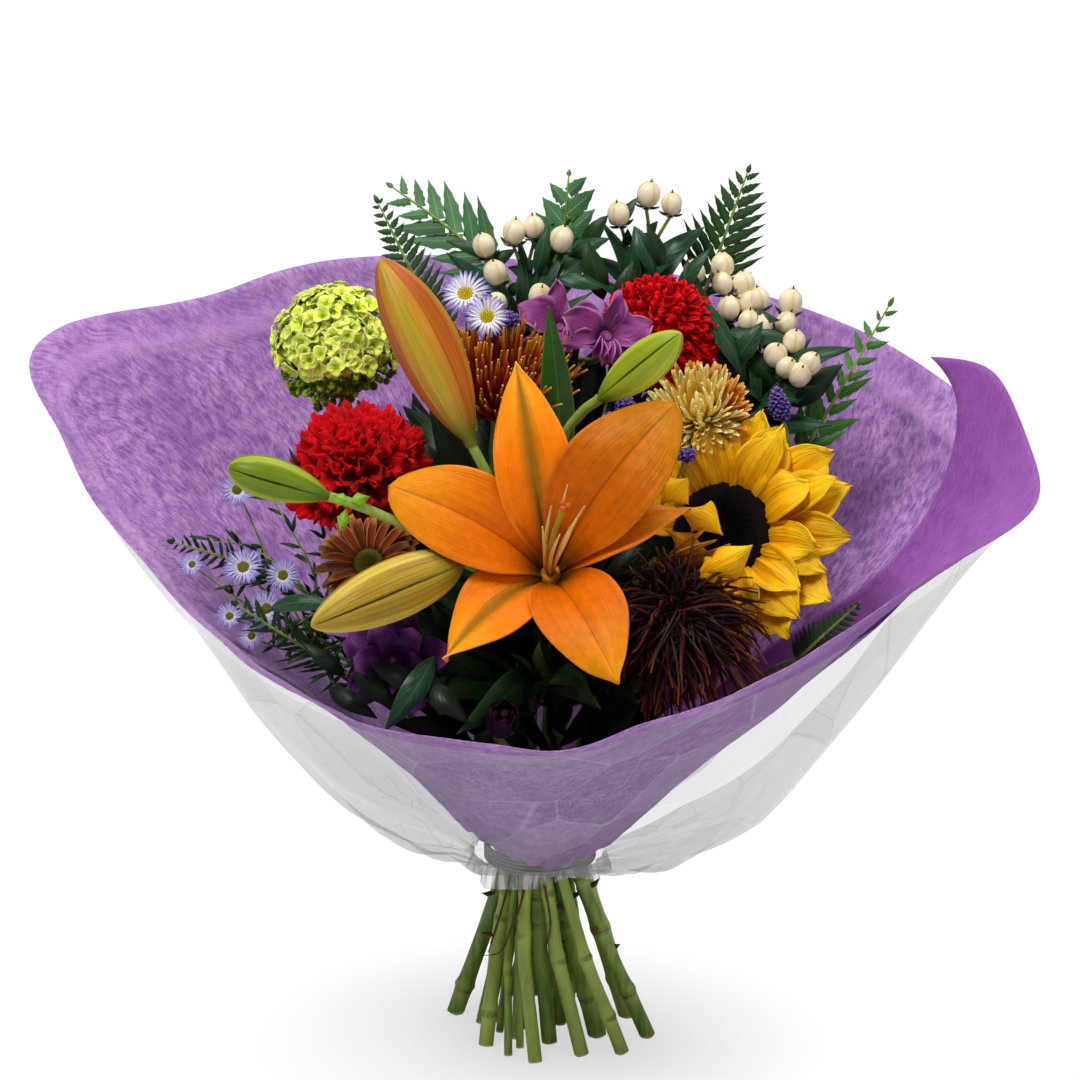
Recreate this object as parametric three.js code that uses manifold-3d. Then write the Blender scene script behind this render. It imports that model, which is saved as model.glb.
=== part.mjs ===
// A mixed hand-tied bouquet standing on its cut stems: an orange lily with its buds, a sunflower,
// a red carnation, a red pompon, a lime hydrangea, four chrysanthemums, purple orchids, asters,
// cream berries and fern, tied at the waist inside a purple non-woven wrap and a clear film.
// Millimetres, +Z up. The front of the bouquet faces -Y, and the stem ends stand on z = 0.
import * as THREE from 'three';
import { mergeVertices } from 'three/addons/utils/BufferGeometryUtils.js';
import Module from 'manifold-3d';

const wasm = await Module();
wasm.setup();
const { Manifold } = wasm;

// Driving dimensions of the bunch.
const WAIST_Z = 95; // height of the tie above the surface
const SPLAY = 2.75; // how far the stem ends spread, as a multiple of their place in the tie
const SPIRAL_ABOVE = 20; // degrees that the stems turn between the heads and the tie
const SPIRAL_RISE = 120; // height above the tie over which that turn is made
const SPIRAL_BELOW = 26; // degrees more that they turn down to their ends
const STEM_GAP = 0.2; // clear space between stems in the tie
const SEAT = 0.3; // gap between a bloom and the stem that carries it
const BLADE = 0.7; // thickness of petals and leaves
const GOLDEN = THREE.MathUtils.degToRad(137.508);

const UP = new THREE.Vector3(0, 0, 1);
const vec = (x, y, z) => new THREE.Vector3(x, y, z);
const rad = THREE.MathUtils.degToRad;
const lerp = THREE.MathUtils.lerp;

// Colours seen on each kind of plant, and its surface roughness.
const LOOKS = {
  stem: [0x5f8a35, 0.6],
  leaf: [0x2c5a2a, 0.55],
  fern: [0x2f6a2c, 0.6],
  lily: [0xf07f10, 0.45],
  stamen: [0xe8a35a, 0.5],
  budOrange: [0xd9962f, 0.5],
  budGreen: [0x9cc22e, 0.5],
  budOlive: [0xa89a2c, 0.5],
  sunflower: [0xfbb40c, 0.55],
  disc: [0x1e0f0b, 0.9],
  carnation: [0xc80f1c, 0.7],
  pompon: [0xc20c18, 0.7],
  hydrangea: [0xb5d24a, 0.6],
  quill: [0xb0641c, 0.6],
  gold: [0xe3a23c, 0.6],
  rust: [0xa8561f, 0.65],
  olive: [0x8a8424, 0.8],
  dark: [0x3a1610, 0.55],
  orchid: [0x8b3fa8, 0.5],
  plum: [0x3c1838, 0.5],
  aster: [0xb9b2ee, 0.6],
  berry: [0xf2dfae, 0.35],
  statice: [0x4b3398, 0.8],
  wrap: [0x8e4fae, 0.85],
  film: [0xe8ecee, 0.1],
  tie: [0xd8d2c0, 0.7],
};

// Solids

// A closed triangle list becomes a solid, whichever way its faces were wound.
function solid(positions, index) {
  const geometry = new THREE.BufferGeometry();
  geometry.setAttribute('position', new THREE.BufferAttribute(new Float32Array(positions), 3));
  geometry.setIndex(index);
  const merged = mergeVertices(geometry, 1e-4);
  const corners = [];
  for (let i = 0; i < merged.index.count; i += 3) {
    const [a, b, c] = [0, 1, 2].map((k) => merged.index.getX(i + k));
    if (a !== b && b !== c && c !== a) corners.push(a, b, c);
  }
  const points = merged.attributes.position.array;
  let six = 0;
  const at = (i) => vec(points[3 * i], points[3 * i + 1], points[3 * i + 2]);
  for (let i = 0; i < corners.length; i += 3) {
    six += at(corners[i]).dot(at(corners[i + 1]).cross(at(corners[i + 2])));
  }
  if (six < 0) corners.reverse();
  return new Manifold(new wasm.Mesh({
    numProp: 3,
    vertProperties: new Float32Array(points),
    triVerts: new Uint32Array(corners),
  }));
}

const fuse = (...parts) => Manifold.union(parts.flat());

// A body through rings of equal count, closed flat at both ends.
function loft(rings) {
  const n = rings[0].length;
  const positions = rings.flat().flatMap((p) => [p.x, p.y, p.z]);
  const index = [];
  for (let k = 0; k < rings.length - 1; k++) {
    for (let i = 0; i < n; i++) {
      const a = k * n + i;
      const b = k * n + ((i + 1) % n);
      index.push(a, b, b + n, a, b + n, a + n);
    }
  }
  const top = (rings.length - 1) * n;
  for (let i = 1; i < n - 1; i++) index.push(0, i + 1, i, top, top + i, top + i + 1);
  return solid(positions, index);
}

// A sheet of triangles becomes a thin blade: both faces alike, and its free edges closed.
function sheet(points, triangles, thickness = BLADE) {
  const normals = points.map(() => vec(0, 0, 0));
  const open = new Map();
  for (const [a, b, c] of triangles) {
    const normal = points[b].clone().sub(points[a]).cross(points[c].clone().sub(points[a])).normalize();
    for (const [i, j] of [[a, b], [b, c], [c, a]]) {
      normals[i].add(normal);
      if (!open.delete(`${j},${i}`)) open.set(`${i},${j}`, [i, j]);
    }
  }
  const n = points.length;
  const shifted = [1, -1].flatMap((side) => (
    points.map((p, i) => p.clone().addScaledVector(normals[i].setLength(thickness / 2), side))));
  const index = triangles.flatMap(([a, b, c]) => [a, b, c, a + n, c + n, b + n]);
  for (const [i, j] of open.values()) index.push(j, i, i + n, j, i + n, j + n);
  return solid(shifted.flatMap((p) => [p.x, p.y, p.z]), index);
}

// Joins rows of points, which may differ in count, into triangles.
function stitch(rows) {
  const triangles = [];
  let first = 0;
  for (let k = 0; k < rows.length - 1; k++) {
    const [m, n] = [rows[k].length, rows[k + 1].length];
    const next = first + m;
    let [i, j] = [0, 0];
    while (i < m - 1 || j < n - 1) {
      if (j === n - 1 || (i < m - 1 && (i + 1) / (m - 1) <= (j + 1) / (n - 1))) {
        triangles.push([first + i, first + i + 1, next + j]);
        i += 1;
      } else {
        triangles.push([first + i, next + j + 1, next + j]);
        j += 1;
      }
    }
    first = next;
  }
  return [rows.flat(), triangles];
}

const blade = (rows, thickness) => sheet(...stitch(rows), thickness);

// A tube with a ring round each point, of the radius listed for it. flatStart cuts its foot level.
function tube(points, radii, sides, flatStart = false) {
  const tangents = points.map((p, k) => (
    points[Math.min(k + 1, points.length - 1)].clone().sub(points[Math.max(k - 1, 0)]).normalize()));
  const across = Math.abs(tangents[0].x) < 0.9 ? vec(1, 0, 0) : vec(0, 1, 0);
  let normal = across.addScaledVector(tangents[0], -across.dot(tangents[0])).normalize();
  return loft(points.map((centre, k) => {
    const t = tangents[k];
    normal = normal.addScaledVector(t, -normal.dot(t)).normalize();
    const binormal = t.clone().cross(normal);
    return Array.from({ length: sides }, (_, i) => {
      const angle = (i / sides) * 2 * Math.PI;
      const p = centre.clone()
        .addScaledVector(normal, radii[k] * Math.cos(angle))
        .addScaledVector(binormal, radii[k] * Math.sin(angle));
      return flatStart && k === 0 ? p.addScaledVector(t, -p.z / t.z) : p;
    });
  }));
}

// A straight tapered peg between two points.
const peg = (from, to, r0, r1, sides = 4) => tube([from, to], [r0, r1], sides);

// A body turned about +Z, from [radius, height] pairs, with an optional ripple round it.
function turned(profile, sides, ripple = () => 1) {
  return loft(profile.map(([r, h]) => Array.from({ length: sides }, (_, i) => {
    const angle = (i / sides) * 2 * Math.PI;
    const radius = Math.max(r * ripple(angle, h), 0.02);
    return vec(radius * Math.cos(angle), radius * Math.sin(angle), h);
  })));
}

// The turn that brings +Z round to an axis, after a roll about +Z.
const facing = (axis, roll = 0) => new THREE.Quaternion().setFromUnitVectors(UP, axis.clone().normalize())
  .multiply(new THREE.Quaternion().setFromAxisAngle(UP, roll));

// Moves a solid made round the origin to a place, its +Z turned to an axis.
function moved(body, at, axis = UP, roll = 0) {
  return body.transform(new THREE.Matrix4().compose(at, facing(axis, roll), vec(1, 1, 1)).elements);
}

// Petals, quills and leaves

// A petal that leaves the flower's axis at an angle. Its rows are [radius, height, half width, cup],
// and points lists how many points lie across each row.
function petal(angle, rows, points, thickness = BLADE) {
  const grid = rows.map(([r, h, half, cup], k) => Array.from({ length: points[k] }, (_, i) => {
    const c = points[k] > 1 ? (2 * i) / (points[k] - 1) - 1 : 0;
    return vec(r, -c * half, h + cup * c * c).applyAxisAngle(UP, angle);
  }));
  return blade(grid, thickness);
}

// A narrow three-sided quill through three [radius, height] points, thickest in its middle.
function quill(angle, line, radius, tip = 0.35) {
  const points = line.map(([r, h]) => vec(r, 0, h).applyAxisAngle(UP, angle));
  const radii = points.map((_, k) => radius * [0.5, 1, tip][k]);
  return tube(points, radii, 3);
}

// Rows along an arc that starts at [r, h], bending from one elevation to another, in degrees.
function arcLine(start, length, from, to, steps) {
  const line = [[...start]];
  for (let k = 0; k < steps; k++) {
    const angle = rad(lerp(from, to, (k + 0.5) / steps));
    const [r, h] = line[k];
    line.push([r + Math.cos(angle) * length / steps, h + Math.sin(angle) * length / steps]);
  }
  return line;
}

// A leaf from its root to its tip: it bows towards `face`, and its two halves fold up by `fold`.
function leaf(root, tip, face, half, { fold = 0.15, bow = 0.12, rows = 3 } = {}) {
  const along = tip.clone().sub(root);
  const side = along.clone().cross(face).normalize();
  const out = side.clone().cross(along).normalize();
  const grid = [];
  for (let k = 0; k <= rows; k++) {
    const t = k / rows;
    const width = half * Math.sin(Math.PI * t ** 0.8);
    const middle = root.clone().addScaledVector(along, t)
      .addScaledVector(out, bow * along.length() * Math.sin(Math.PI * t));
    const across = k === 0 || k === rows ? [0] : [-1, 0, 1];
    grid.push(across.map((c) => middle.clone().addScaledVector(side, c * width)
      .addScaledVector(out, fold * half * c * c)));
  }
  return blade(grid);
}

// A frond: pointed leaflets down both sides of a rib, arched from its root to its tip.
function frond(root, tip, face, { half, pairs, forward = 0.55, bow = 0.1 }) {
  const along = tip.clone().sub(root);
  const length = along.length();
  const side = along.clone().cross(face).normalize();
  const out = side.clone().cross(along).normalize();
  const place = (x, y) => root.clone()
    .addScaledVector(along, y / length)
    .addScaledVector(side, x)
    .addScaledVector(out, bow * length * Math.sin(Math.PI * y / length) - 0.12 * Math.abs(x));
  const step = length / (pairs + 0.8);
  const rib = 1.1;
  const spine = Array.from({ length: pairs + 1 }, (_, k) => [place(-rib, step * k), place(rib, step * k)]);
  const [points, triangles] = stitch([...spine, [place(0, length)]]);
  for (let k = 0; k < pairs; k++) {
    const t = (k + 0.5) / (pairs + 0.8);
    const reach = half * (1 - t) ** 0.75 * (t < 0.2 ? 0.75 + 1.25 * t : 1);
    for (const [sign, low, high] of [[-1, 2 * k, 2 * k + 2], [1, 2 * k + 1, 2 * k + 3]]) {
      const end = points.push(place(sign * (rib + reach), t * length + reach * forward)) - 1;
      triangles.push(sign > 0 ? [low, end, high] : [high, end, low]);
    }
  }
  return sheet(points, triangles);
}

// A small daisy head on +Z: a star of cupped rays with a raised middle.
function daisy(radius, rays) {
  const star = Array.from({ length: rays * 2 }, (_, i) => {
    const r = i % 2 ? radius * 0.4 : radius;
    const angle = (i / (rays * 2)) * 2 * Math.PI;
    return vec(r * Math.cos(angle), r * Math.sin(angle), 0.14 * r);
  });
  const triangles = star.map((_, i) => [rays * 2, i, (i + 1) % (rays * 2)]);
  return sheet([...star, vec(0, 0, radius * 0.22)], triangles);
}

// The stems, and how they run through the tie

// Each stem: where its bloom sits, which way it faces, and its radius at the foot and the neck.
const STEMS = {
  lily: { at: [4, -92, 258], axis: [-0.05, -0.73, 0.68], foot: 5.2, neck: 3.2 },
  sunflower: { at: [88, -42, 268], axis: [-0.26, -0.8, 0.54], foot: 5.5, neck: 4.2 },
  carnation: { at: [-82, -34, 289], axis: [-0.12, -0.5, 0.86], foot: 4.1, neck: 2.8 },
  pompon: { at: [55, 26, 333], axis: [0, -0.45, 0.89], foot: 4.4, neck: 2.8 },
  hydrangea: { at: [-92, 14, 320], axis: [-0.12, -0.35, 0.93], foot: 4.8, neck: 3.2 },
  quillMum: { at: [-20, -22, 316], axis: [0.06, -0.25, 0.97], foot: 4.3, neck: 2.6 },
  goldenMum: { at: [74, -12, 313], axis: [-0.15, -0.62, 0.77], foot: 4.2, neck: 2.6 },
  rustDaisy: { at: [-75, -92, 269], axis: [-0.15, -0.8, 0.58], foot: 4.0, neck: 2.4 },
  darkMum: { at: [58, -90, 243], axis: [0.12, -0.74, 0.66], foot: 4.3, neck: 2.6 },
  orchid: { at: [9, 2, 351], axis: [0.05, -0.75, 0.66], foot: 3.9, neck: 2.2 },
  purpleLow: { at: [-62, -104, 226], axis: [-0.2, -0.8, 0.5], foot: 3.8, neck: 2.2 },
  darkBud: { at: [-18, -112, 200], axis: [0.1, -0.8, 0.6], foot: 3.9, neck: 2.2 },
  hypericumLeft: { at: [-8, 34, 352], axis: [0, -0.2, 0.98], foot: 2.8, neck: 1.8 },
  hypericumMid: { at: [48, 58, 362], axis: [0.1, 0, 0.99], foot: 2.7, neck: 1.8 },
  hypericumRight: { at: [104, 36, 318], axis: [0.1, -0.1, 0.98], foot: 2.9, neck: 1.9 },
  asterTop: { at: [-34, 8, 350], axis: [0, -0.3, 0.95], foot: 2.0, neck: 1.3 },
  asterLeft: { at: [-112, -52, 226], axis: [-0.5, -0.4, 0.77], foot: 2.0, neck: 1.3 },
  statice: { at: [112, -2, 312], axis: [-0.2, -0.2, 0.96], foot: 1.8, neck: 1.2 },
  fernLeft: { at: [-46, 34, 340], axis: [-0.4, 0.15, 0.9], foot: 1.9, neck: 1.2 },
  fernBack: { at: [-18, 62, 366], axis: [-0.5, 0.2, 0.84], foot: 1.9, neck: 1.2 },
  fernCentre: { at: [10, 66, 366], axis: [0.1, 0.15, 0.98], foot: 1.9, neck: 1.2 },
  fernTall: { at: [78, 66, 352], axis: [0.25, 0.1, 0.96], foot: 1.9, neck: 1.2 },
  fernRight: { at: [124, 22, 286], axis: [0.5, 0.3, 0.8], foot: 1.9, neck: 1.2 },
  fernLowRight: { at: [118, -72, 218], axis: [0.75, -0.45, 0.5], foot: 1.9, neck: 1.2 },
  fernLowLeft: { at: [-90, -80, 214], axis: [-0.75, -0.4, 0.5], foot: 1.9, neck: 1.2 },
  fernFarLeft: { at: [-120, -14, 238], axis: [-0.8, 0.1, 0.6], foot: 1.9, neck: 1.2 },
};

// The neck is where a stem turns into line with its bloom, and the girth is its radius in the tie.
for (const s of Object.values(STEMS)) {
  s.at = vec(...s.at);
  s.axis = vec(...s.axis).normalize();
  s.throat = s.at.clone().addScaledVector(s.axis, -Math.min(22, (s.at.z - WAIST_Z) * 0.14));
  s.girth = lerp(s.foot, s.neck, 2 / 7);
  s.tie = new THREE.Vector2(s.at.x, s.at.y + 30).multiplyScalar(0.2);
}

// Where a stem stands in plan, a share t of the way up from the tie to its neck.
const planAt = (s, t) => s.tie.clone().lerp(new THREE.Vector2(s.throat.x, s.throat.y), t ** 1.35);

// Packs the stems in the tie: each starts under its own bloom, all press together, and any two that
// would touch at one of the levels above the tie push each other apart.
const LEVELS = [0, 8, 18, 30, 45, 65, 90, 120];
function packTie(stems) {
  for (let round = 0; round < 2400; round++) {
    const pull = round < 2000 ? 0.03 * (1 - round / 2000) : 0;
    for (const s of stems) s.tie.multiplyScalar(1 - pull);
    for (const [i, a] of stems.entries()) {
      for (const b of stems.slice(i + 1)) {
        for (const level of LEVELS) {
          const need = (a.girth + b.girth) * (level ? 1.12 : 1) + STEM_GAP;
          const [ta, tb] = [a, b].map((s) => level / (s.throat.z - WAIST_Z));
          if (ta > 1 || tb > 1) continue;
          const apart = planAt(a, ta).sub(planAt(b, tb));
          const missing = need - apart.length();
          if (missing <= 0) continue;
          apart.setLength(missing / 2);
          a.tie.add(apart);
          b.tie.sub(apart);
        }
      }
    }
  }
  const reach = (s) => Math.max(...[0, 6].map((level) => planAt(s, level / (s.throat.z - WAIST_Z)).length()));
  return Math.max(...stems.map((s) => reach(s) + s.girth));
}

const TIE_R = packTie(Object.values(STEMS));

// The line of a stem: level foot, straight up to the tie, then out to its bloom. All the stems turn
// alike with height, so they keep their order and clear each other.
function route(s, seat = SEAT) {
  const turn = (p, z, degrees) => {
    const q = p.clone().rotateAround(new THREE.Vector2(), rad(degrees));
    return vec(q.x, q.y, z);
  };
  const above = (t) => {
    const z = lerp(WAIST_Z, s.throat.z, t);
    return turn(planAt(s, t), z, SPIRAL_ABOVE * Math.max(1 - (z - WAIST_Z) / SPIRAL_RISE, 0) ** 2);
  };
  const below = (u) => {
    const spread = s.tie.clone().multiplyScalar(1 + (SPLAY - 1) * u);
    return turn(spread, WAIST_Z * (1 - u), SPIRAL_ABOVE + SPIRAL_BELOW * u);
  };
  return [below(1), below(0.5), below(0), above(0.22), above(0.5), above(0.75), s.throat,
    s.at.clone().addScaledVector(s.axis, -seat)];
}

// A stem as a tube. Thick ones swell once, where a leaf has been stripped.
function stem(s, sides, seat = SEAT) {
  const points = route(s, seat);
  return tube(points, points.map((p, k) => (
    lerp(s.foot, s.neck, k / (points.length - 1)) * (sides > 5 && k === 1 ? 1.14 : 1))), sides, true);
}

// The bend of a stem, counted down from its end, and a point so far below its end.
const bendOf = (s, down) => route(s).at(-1 - down);
const belowEnd = (s, distance) => s.at.clone().addScaledVector(s.axis, -distance);

// Blooms, each made round the origin with its face up +Z

// Six tepals, three broad and three narrow, bending out of a short throat.
function lilyBloom() {
  const tepals = [
    { angle: 98, half: 20, length: 96, from: 62, to: 8 },
    { angle: 158, half: 19.5, length: 90, from: 62, to: 6 },
    { angle: 226, half: 18, length: 84, from: 60, to: 2 },
    { angle: 293, half: 19.5, length: 88, from: 60, to: 6 },
    { angle: 43, half: 20.5, length: 102, from: 64, to: 12 },
    { angle: 8, half: 15, length: 78, from: 50, to: -34 },
  ].map(({ angle, half, length, from, to }) => {
    const rows = arcLine([2.5, 1], length, from, to, 6).map(([r, h], k) => (
      [r, h, half * [0.06, 0.3, 0.8, 1, 0.92, 0.58, 0][k], lerp(4.5, 1.5, k / 6)]));
    return petal(rad(angle), rows, [2, 3, 3, 3, 3, 3, 1], 0.9);
  });
  return fuse(tepals, turned([[3, 0], [6.5, 2], [4, 7]], 7));
}

function lilyStamens() {
  const filaments = [0, 60, 120, 180, 240, 300].map((degrees) => {
    const line = [[1, 10], [5, 24], [18, 52]];
    return tube(line.map(([r, h]) => vec(r, 0, h).applyAxisAngle(UP, rad(degrees + 20))), [1, 0.9, 0.7], 3);
  });
  const style = tube([vec(0, 0, 7.4), vec(0.5, 1, 34), vec(1, 4, 57)], [2.4, 1.3, 1.8], 4);
  const stigma = moved(turned([[2.8, 0], [2.4, 4]], 5), vec(1, 4, 56));
  return fuse(filaments, style, stigma);
}

// A lily bud: three ribs with grooves between, blunt at the tip.
function lilyBud(length, radius) {
  const profile = [[0.16, 0], [0.72, 0.18], [1, 0.5], [0.7, 0.86], [0.2, 1]];
  return turned(profile.map(([r, h]) => [r * radius, h * length]), 9,
    (angle) => 1 - 0.1 * Math.cos(3 * angle));
}

const SUN_RAYS = 20;
function sunflowerRays() {
  const rays = Array.from({ length: SUN_RAYS }, (_, i) => {
    const inner = i % 2;
    const length = 41 - 4 * inner + 2 * Math.sin(i * 2.3);
    const line = arcLine([18, inner * 0.6 - 0.8], length, 14 + inner * 14, -8 + 8 * Math.sin(i * 1.7), 2);
    const rows = line.map(([r, h], k) => [r, h, [2.4, 8.2, 0][k], k === 1 ? 1.4 : 0]);
    return petal((i / SUN_RAYS) * 2 * Math.PI, rows, [2, 3, 1]);
  });
  return fuse(rays, turned([[13, -3.2], [21, -2.4], [21, 0.8], [15, 1.2]], 9));
}

const sunflowerDisc = () => turned(
  [[15, 1.6], [22.5, 2.4], [23.5, 5], [19, 8.5], [7, 7.6], [1, 7]], 18,
  (angle, h) => 1 + (h > 4 ? 0.05 * Math.cos(9 * angle) : 0),
);

function sunflowerBack() {
  const bracts = Array.from({ length: 8 }, (_, i) => petal((i / 8) * 2 * Math.PI,
    arcLine([10, -10], 28, 22, 4, 2).map(([r, h], k) => [r, h, [3.4, 5, 0][k], 0]), [2, 2, 1]));
  return fuse(turned([[4.2, -16], [14, -8], [14, -4.2]], 10), bracts);
}

// Ruffled fan petals in whorls, over a round heart.
function carnationBloom() {
  const whorls = [
    { count: 7, tilt: 14, length: 31, start: [5, 3], half: 12 },
    { count: 5, tilt: 42, length: 29, start: [4, 6], half: 11 },
    { count: 4, tilt: 70, length: 28, start: [2, 8], half: 9.5 },
  ];
  const petals = whorls.flatMap(({ count, tilt, length, start, half }, w) => (
    Array.from({ length: count }, (_, i) => {
      const line = arcLine(start, length, tilt + 16, tilt - 10, 2);
      const across = [[-1, 1], [-1, 1], [-1, -0.35, 0.35, 1]];
      const frill = [2.2, -1.6];
      return blade(line.map(([r, h], k) => across[k].map((c, j) => vec(
        r - (k === 2 ? 3 * c * c : 0),
        -c * half * [0.2, 0.7, 1][k],
        h + (k === 2 ? frill[j % 2] : 0),
      ).applyAxisAngle(UP, (i / count + w * 0.17) * 2 * Math.PI))));
    })
  ));
  return fuse(petals, turned([[3, 0.2], [8, 3], [11, 14], [5, 27]], 7));
}

// Pegs in a spiral over a dome: each is a body made on +Z and tilted about a centre.
function studded(count, tilts, centre, made) {
  return Array.from({ length: count }, (_, i) => {
    const tilt = rad(lerp(tilts[0], tilts[1], Math.sqrt(i / count)));
    const axis = vec(Math.sin(tilt), 0, Math.cos(tilt)).applyAxisAngle(UP, i * GOLDEN);
    return moved(made(i), vec(0, 0, centre), axis, i);
  });
}

// Rounded petal tips over a dome.
const pomponBloom = () => fuse(
  studded(27, [4, 106], 15, () => turned([[4.6, 19], [4.6, 26], [1.2, 29.6]], 4)),
  turned([[4, 0.2], [18, 3], [23, 17], [15, 33], [3, 38]], 9),
);

// Cupped four-lobed florets over a round head.
const hydrangeaBloom = () => fuse(
  studded(27, [6, 124], 25, () => turned([[2.4, 20], [7.6, 31], [2.2, 28.4]], 4)),
  turned([[3, 0.2], [16, 5], [23, 20], [19, 38], [4, 48]], 9),
);

// Quills in a spiral round a small heart, tilting further out layer by layer.
function quillHead({ count, length, radius, tilt, curl, heart, tip, from = 1 }) {
  const quills = Array.from({ length: count }, (_, i) => {
    const out = lerp(tilt[0], tilt[1], Math.sqrt((i + 0.5) / count));
    const reach = length * (0.86 + 0.14 * Math.sin(i * 2.1));
    const line = arcLine([from, heart * 0.7], reach, 90 - out + curl[0], 90 - out + curl[1], 2);
    return quill(i * GOLDEN, line, radius, tip);
  });
  return fuse(quills, turned([[2, 0.2], [heart, heart * 0.6], [heart * 0.6, heart * 1.3]], 7));
}

function rustRays() {
  const rays = Array.from({ length: 12 }, (_, i) => {
    const line = arcLine([6, 1 + (i % 2)], 18, 30 - 12 * (i % 2), -10, 2);
    return petal((i / 12) * 2 * Math.PI, line.map(([r, h], k) => [r, h, [0.6, 3, 0][k], 0]), [2, 2, 1]);
  });
  return fuse(rays, turned([[3, 0.2], [8, 1], [7, 3.1]], 8));
}

const domedDisc = (radius, base) => turned(
  [[radius, base], [radius, base + 2], [radius * 0.4, base + 4.4]], 8,
);

// An orchid flower: five spread petals and a short lip, facing +Z.
function orchidFlower(size) {
  const wide = [[1.8, 1, 1, 0], [9, 3, 6.4, 1], [17, 4, 7, 1.5], [22, 2.5, 0, 1]];
  const narrow = [[1.8, 1, 1, 0], [10, 2, 4.2, 0.8], [18, 2, 4, 0.8], [23, 0, 0, 0.5]];
  const scale = (rows) => rows.map((row) => row.map((n) => n * size));
  const petals = [[90, narrow], [18, wide], [162, wide], [234, narrow], [306, narrow]]
    .map(([angle, rows]) => petal(rad(angle), scale(rows), [2, 3, 3, 1]));
  return fuse(petals, turned(scale([[2.6, 0.2], [3.2, 3], [1.6, 9]]), 6));
}

// Broad petals round a closed heart, as on a half-open lisianthus.
function cupBloom({ petals, length, half, from, to, heart }) {
  const rows = arcLine([3, 1.5], length, from, to, 2)
    .map(([r, h], k) => [r, h, half * [0.2, 1, 0.4][k], k === 1 ? 1.5 : 0]);
  const ring = Array.from({ length: petals }, (_, i) => petal((i / petals) * 2 * Math.PI, rows, [2, 3, 2]));
  return fuse(ring, turned(heart, 6));
}

// A berry on the end of its own stalk; the stalks leave the stem one below another.
function berryOn(s, at, order) {
  const joint = belowEnd(s, 2 + 1.4 * order);
  const out = at.clone().sub(joint).normalize();
  const fork = joint.clone().addScaledVector(out, 0.8);
  const berry = turned([[2.8, -5], [6, -0.4], [2, 5.9]], 5);
  return fuse(moved(berry, at, out), peg(fork, at.clone().addScaledVector(out, -3), 0.7, 0.9, 3));
}

// The wrap

// The top edge of the purple sheet, from its free corner on the right, round the front, the left
// and the back, to the end tucked behind its own corner.
const RIM = [
  [186, 14, 340], [209, 8, 333], [226, -12, 303], [224, -45, 287], [192, -78, 270], [158, -105, 256],
  [112, -140, 240], [68, -160, 228], [9, -171, 214], [-63, -155, 215], [-105, -130, 222], [-157, -82, 241],
  [-202, -28, 275], [-224, 2, 299], [-239, 30, 332], [-228, 52, 341], [-159, 98, 346], [-126, 114, 354],
  [-87, 128, 357], [10, 140, 352], [70, 136, 346], [153, 105, 328], [192, 75, 311], [216, 36, 297],
  [220, 6, 287],
].map((p) => vec(...p));
const rimCurve = new THREE.CatmullRomCurve3(RIM, false, 'centripetal');
const WRAP_T = 0.8;
const FILM_T = 0.6;
const WRAP_R = TIE_R + 3.6; // inner radius of the purple sheet where it is gathered
const WRAP_COLUMNS = 34;
const WRAP_ROWS = [0, 0.12, 0.35, 0.65, 1];

// A point of the purple sheet and its outward direction: s runs along its top edge, v up from the tie.
function wrapPoint(s, v, off = 0) {
  const rim = rimCurve.getPointAt(s);
  const angle = rad(22 - 372 * s);
  const radius = WRAP_R + 2.8 * s;
  const foot = vec(radius * Math.cos(angle), radius * Math.sin(angle), WAIST_Z);
  const outward = vec(-Math.sin(angle), Math.cos(angle), 0).cross(rim.clone().sub(foot)).normalize();
  const pleat = 1.6 * Math.sin(v * Math.PI) * Math.sin(s * 46);
  const belly = 9 * Math.sin(Math.PI * v ** 0.8);
  return foot.lerp(rim, v).addScaledVector(outward, pleat + belly + off);
}

// The free corner's own edge leans away from the flowers below the corner.
function purpleWrap() {
  const lean = (v) => 0.075 * Math.sin(Math.PI * v) * v;
  return blade(WRAP_ROWS.map((v) => Array.from({ length: WRAP_COLUMNS + 1 }, (_, i) => {
    const s = i / WRAP_COLUMNS;
    return wrapPoint(lean(v) * (1 - s) + s, v);
  })), WRAP_T);
}

// The film runs outside the purple sheet: a gathered collar under the tie, a slack belly, then close
// to the sheet. It stops below the sheet's edge, furthest at the back, and is open at the flap.
const FILM_COLUMNS = [3, WRAP_COLUMNS - 1];
const FILM_ROWS = [
  { drop: 8, off: 2.4 }, { drop: 0, off: 3.2 },
  { v: 0.12, off: 9 }, { v: 0.27, off: 17 }, { v: 0.64, off: 9 }, { v: 1, off: 3 },
];
function clearFilm() {
  const columns = FILM_COLUMNS[1] - FILM_COLUMNS[0];
  return blade(FILM_ROWS.map(({ drop, v, off }) => Array.from({ length: columns + 1 }, (_, i) => {
    const s = (FILM_COLUMNS[0] + i) / WRAP_COLUMNS;
    const front = Math.cos(2 * Math.PI * (s - 0.36));
    const reach = lerp(0.88, 0.97, 0.5 + 0.5 * front);
    const facet = 1 + 0.2 * Math.cos(2 * Math.PI * 7 * s);
    if (v) return wrapPoint(s, v * reach, v === 1 ? off : off * facet);
    const collar = wrapPoint(s, 0);
    const wide = 1 + (off + 0.5 * Math.cos(s * 120)) / Math.hypot(collar.x, collar.y);
    return vec(collar.x * wide, collar.y * wide, WAIST_Z - drop);
  })), FILM_T);
}

function tieBand() {
  const inner = TIE_R + 0.7;
  const outer = inner + 1.8;
  const profile = [[inner, -4.5], [outer, -4.5], [outer, 4.5], [inner, 4.5]];
  const points = profile.concat([profile[0]]).map(([r, h]) => new THREE.Vector2(r, WAIST_Z + h));
  const ring = new THREE.LatheGeometry(points, 20);
  ring.rotateX(Math.PI / 2);
  return solid(Array.from(ring.attributes.position.array), Array.from(ring.index.array));
}

// The bouquet as a scene

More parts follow.
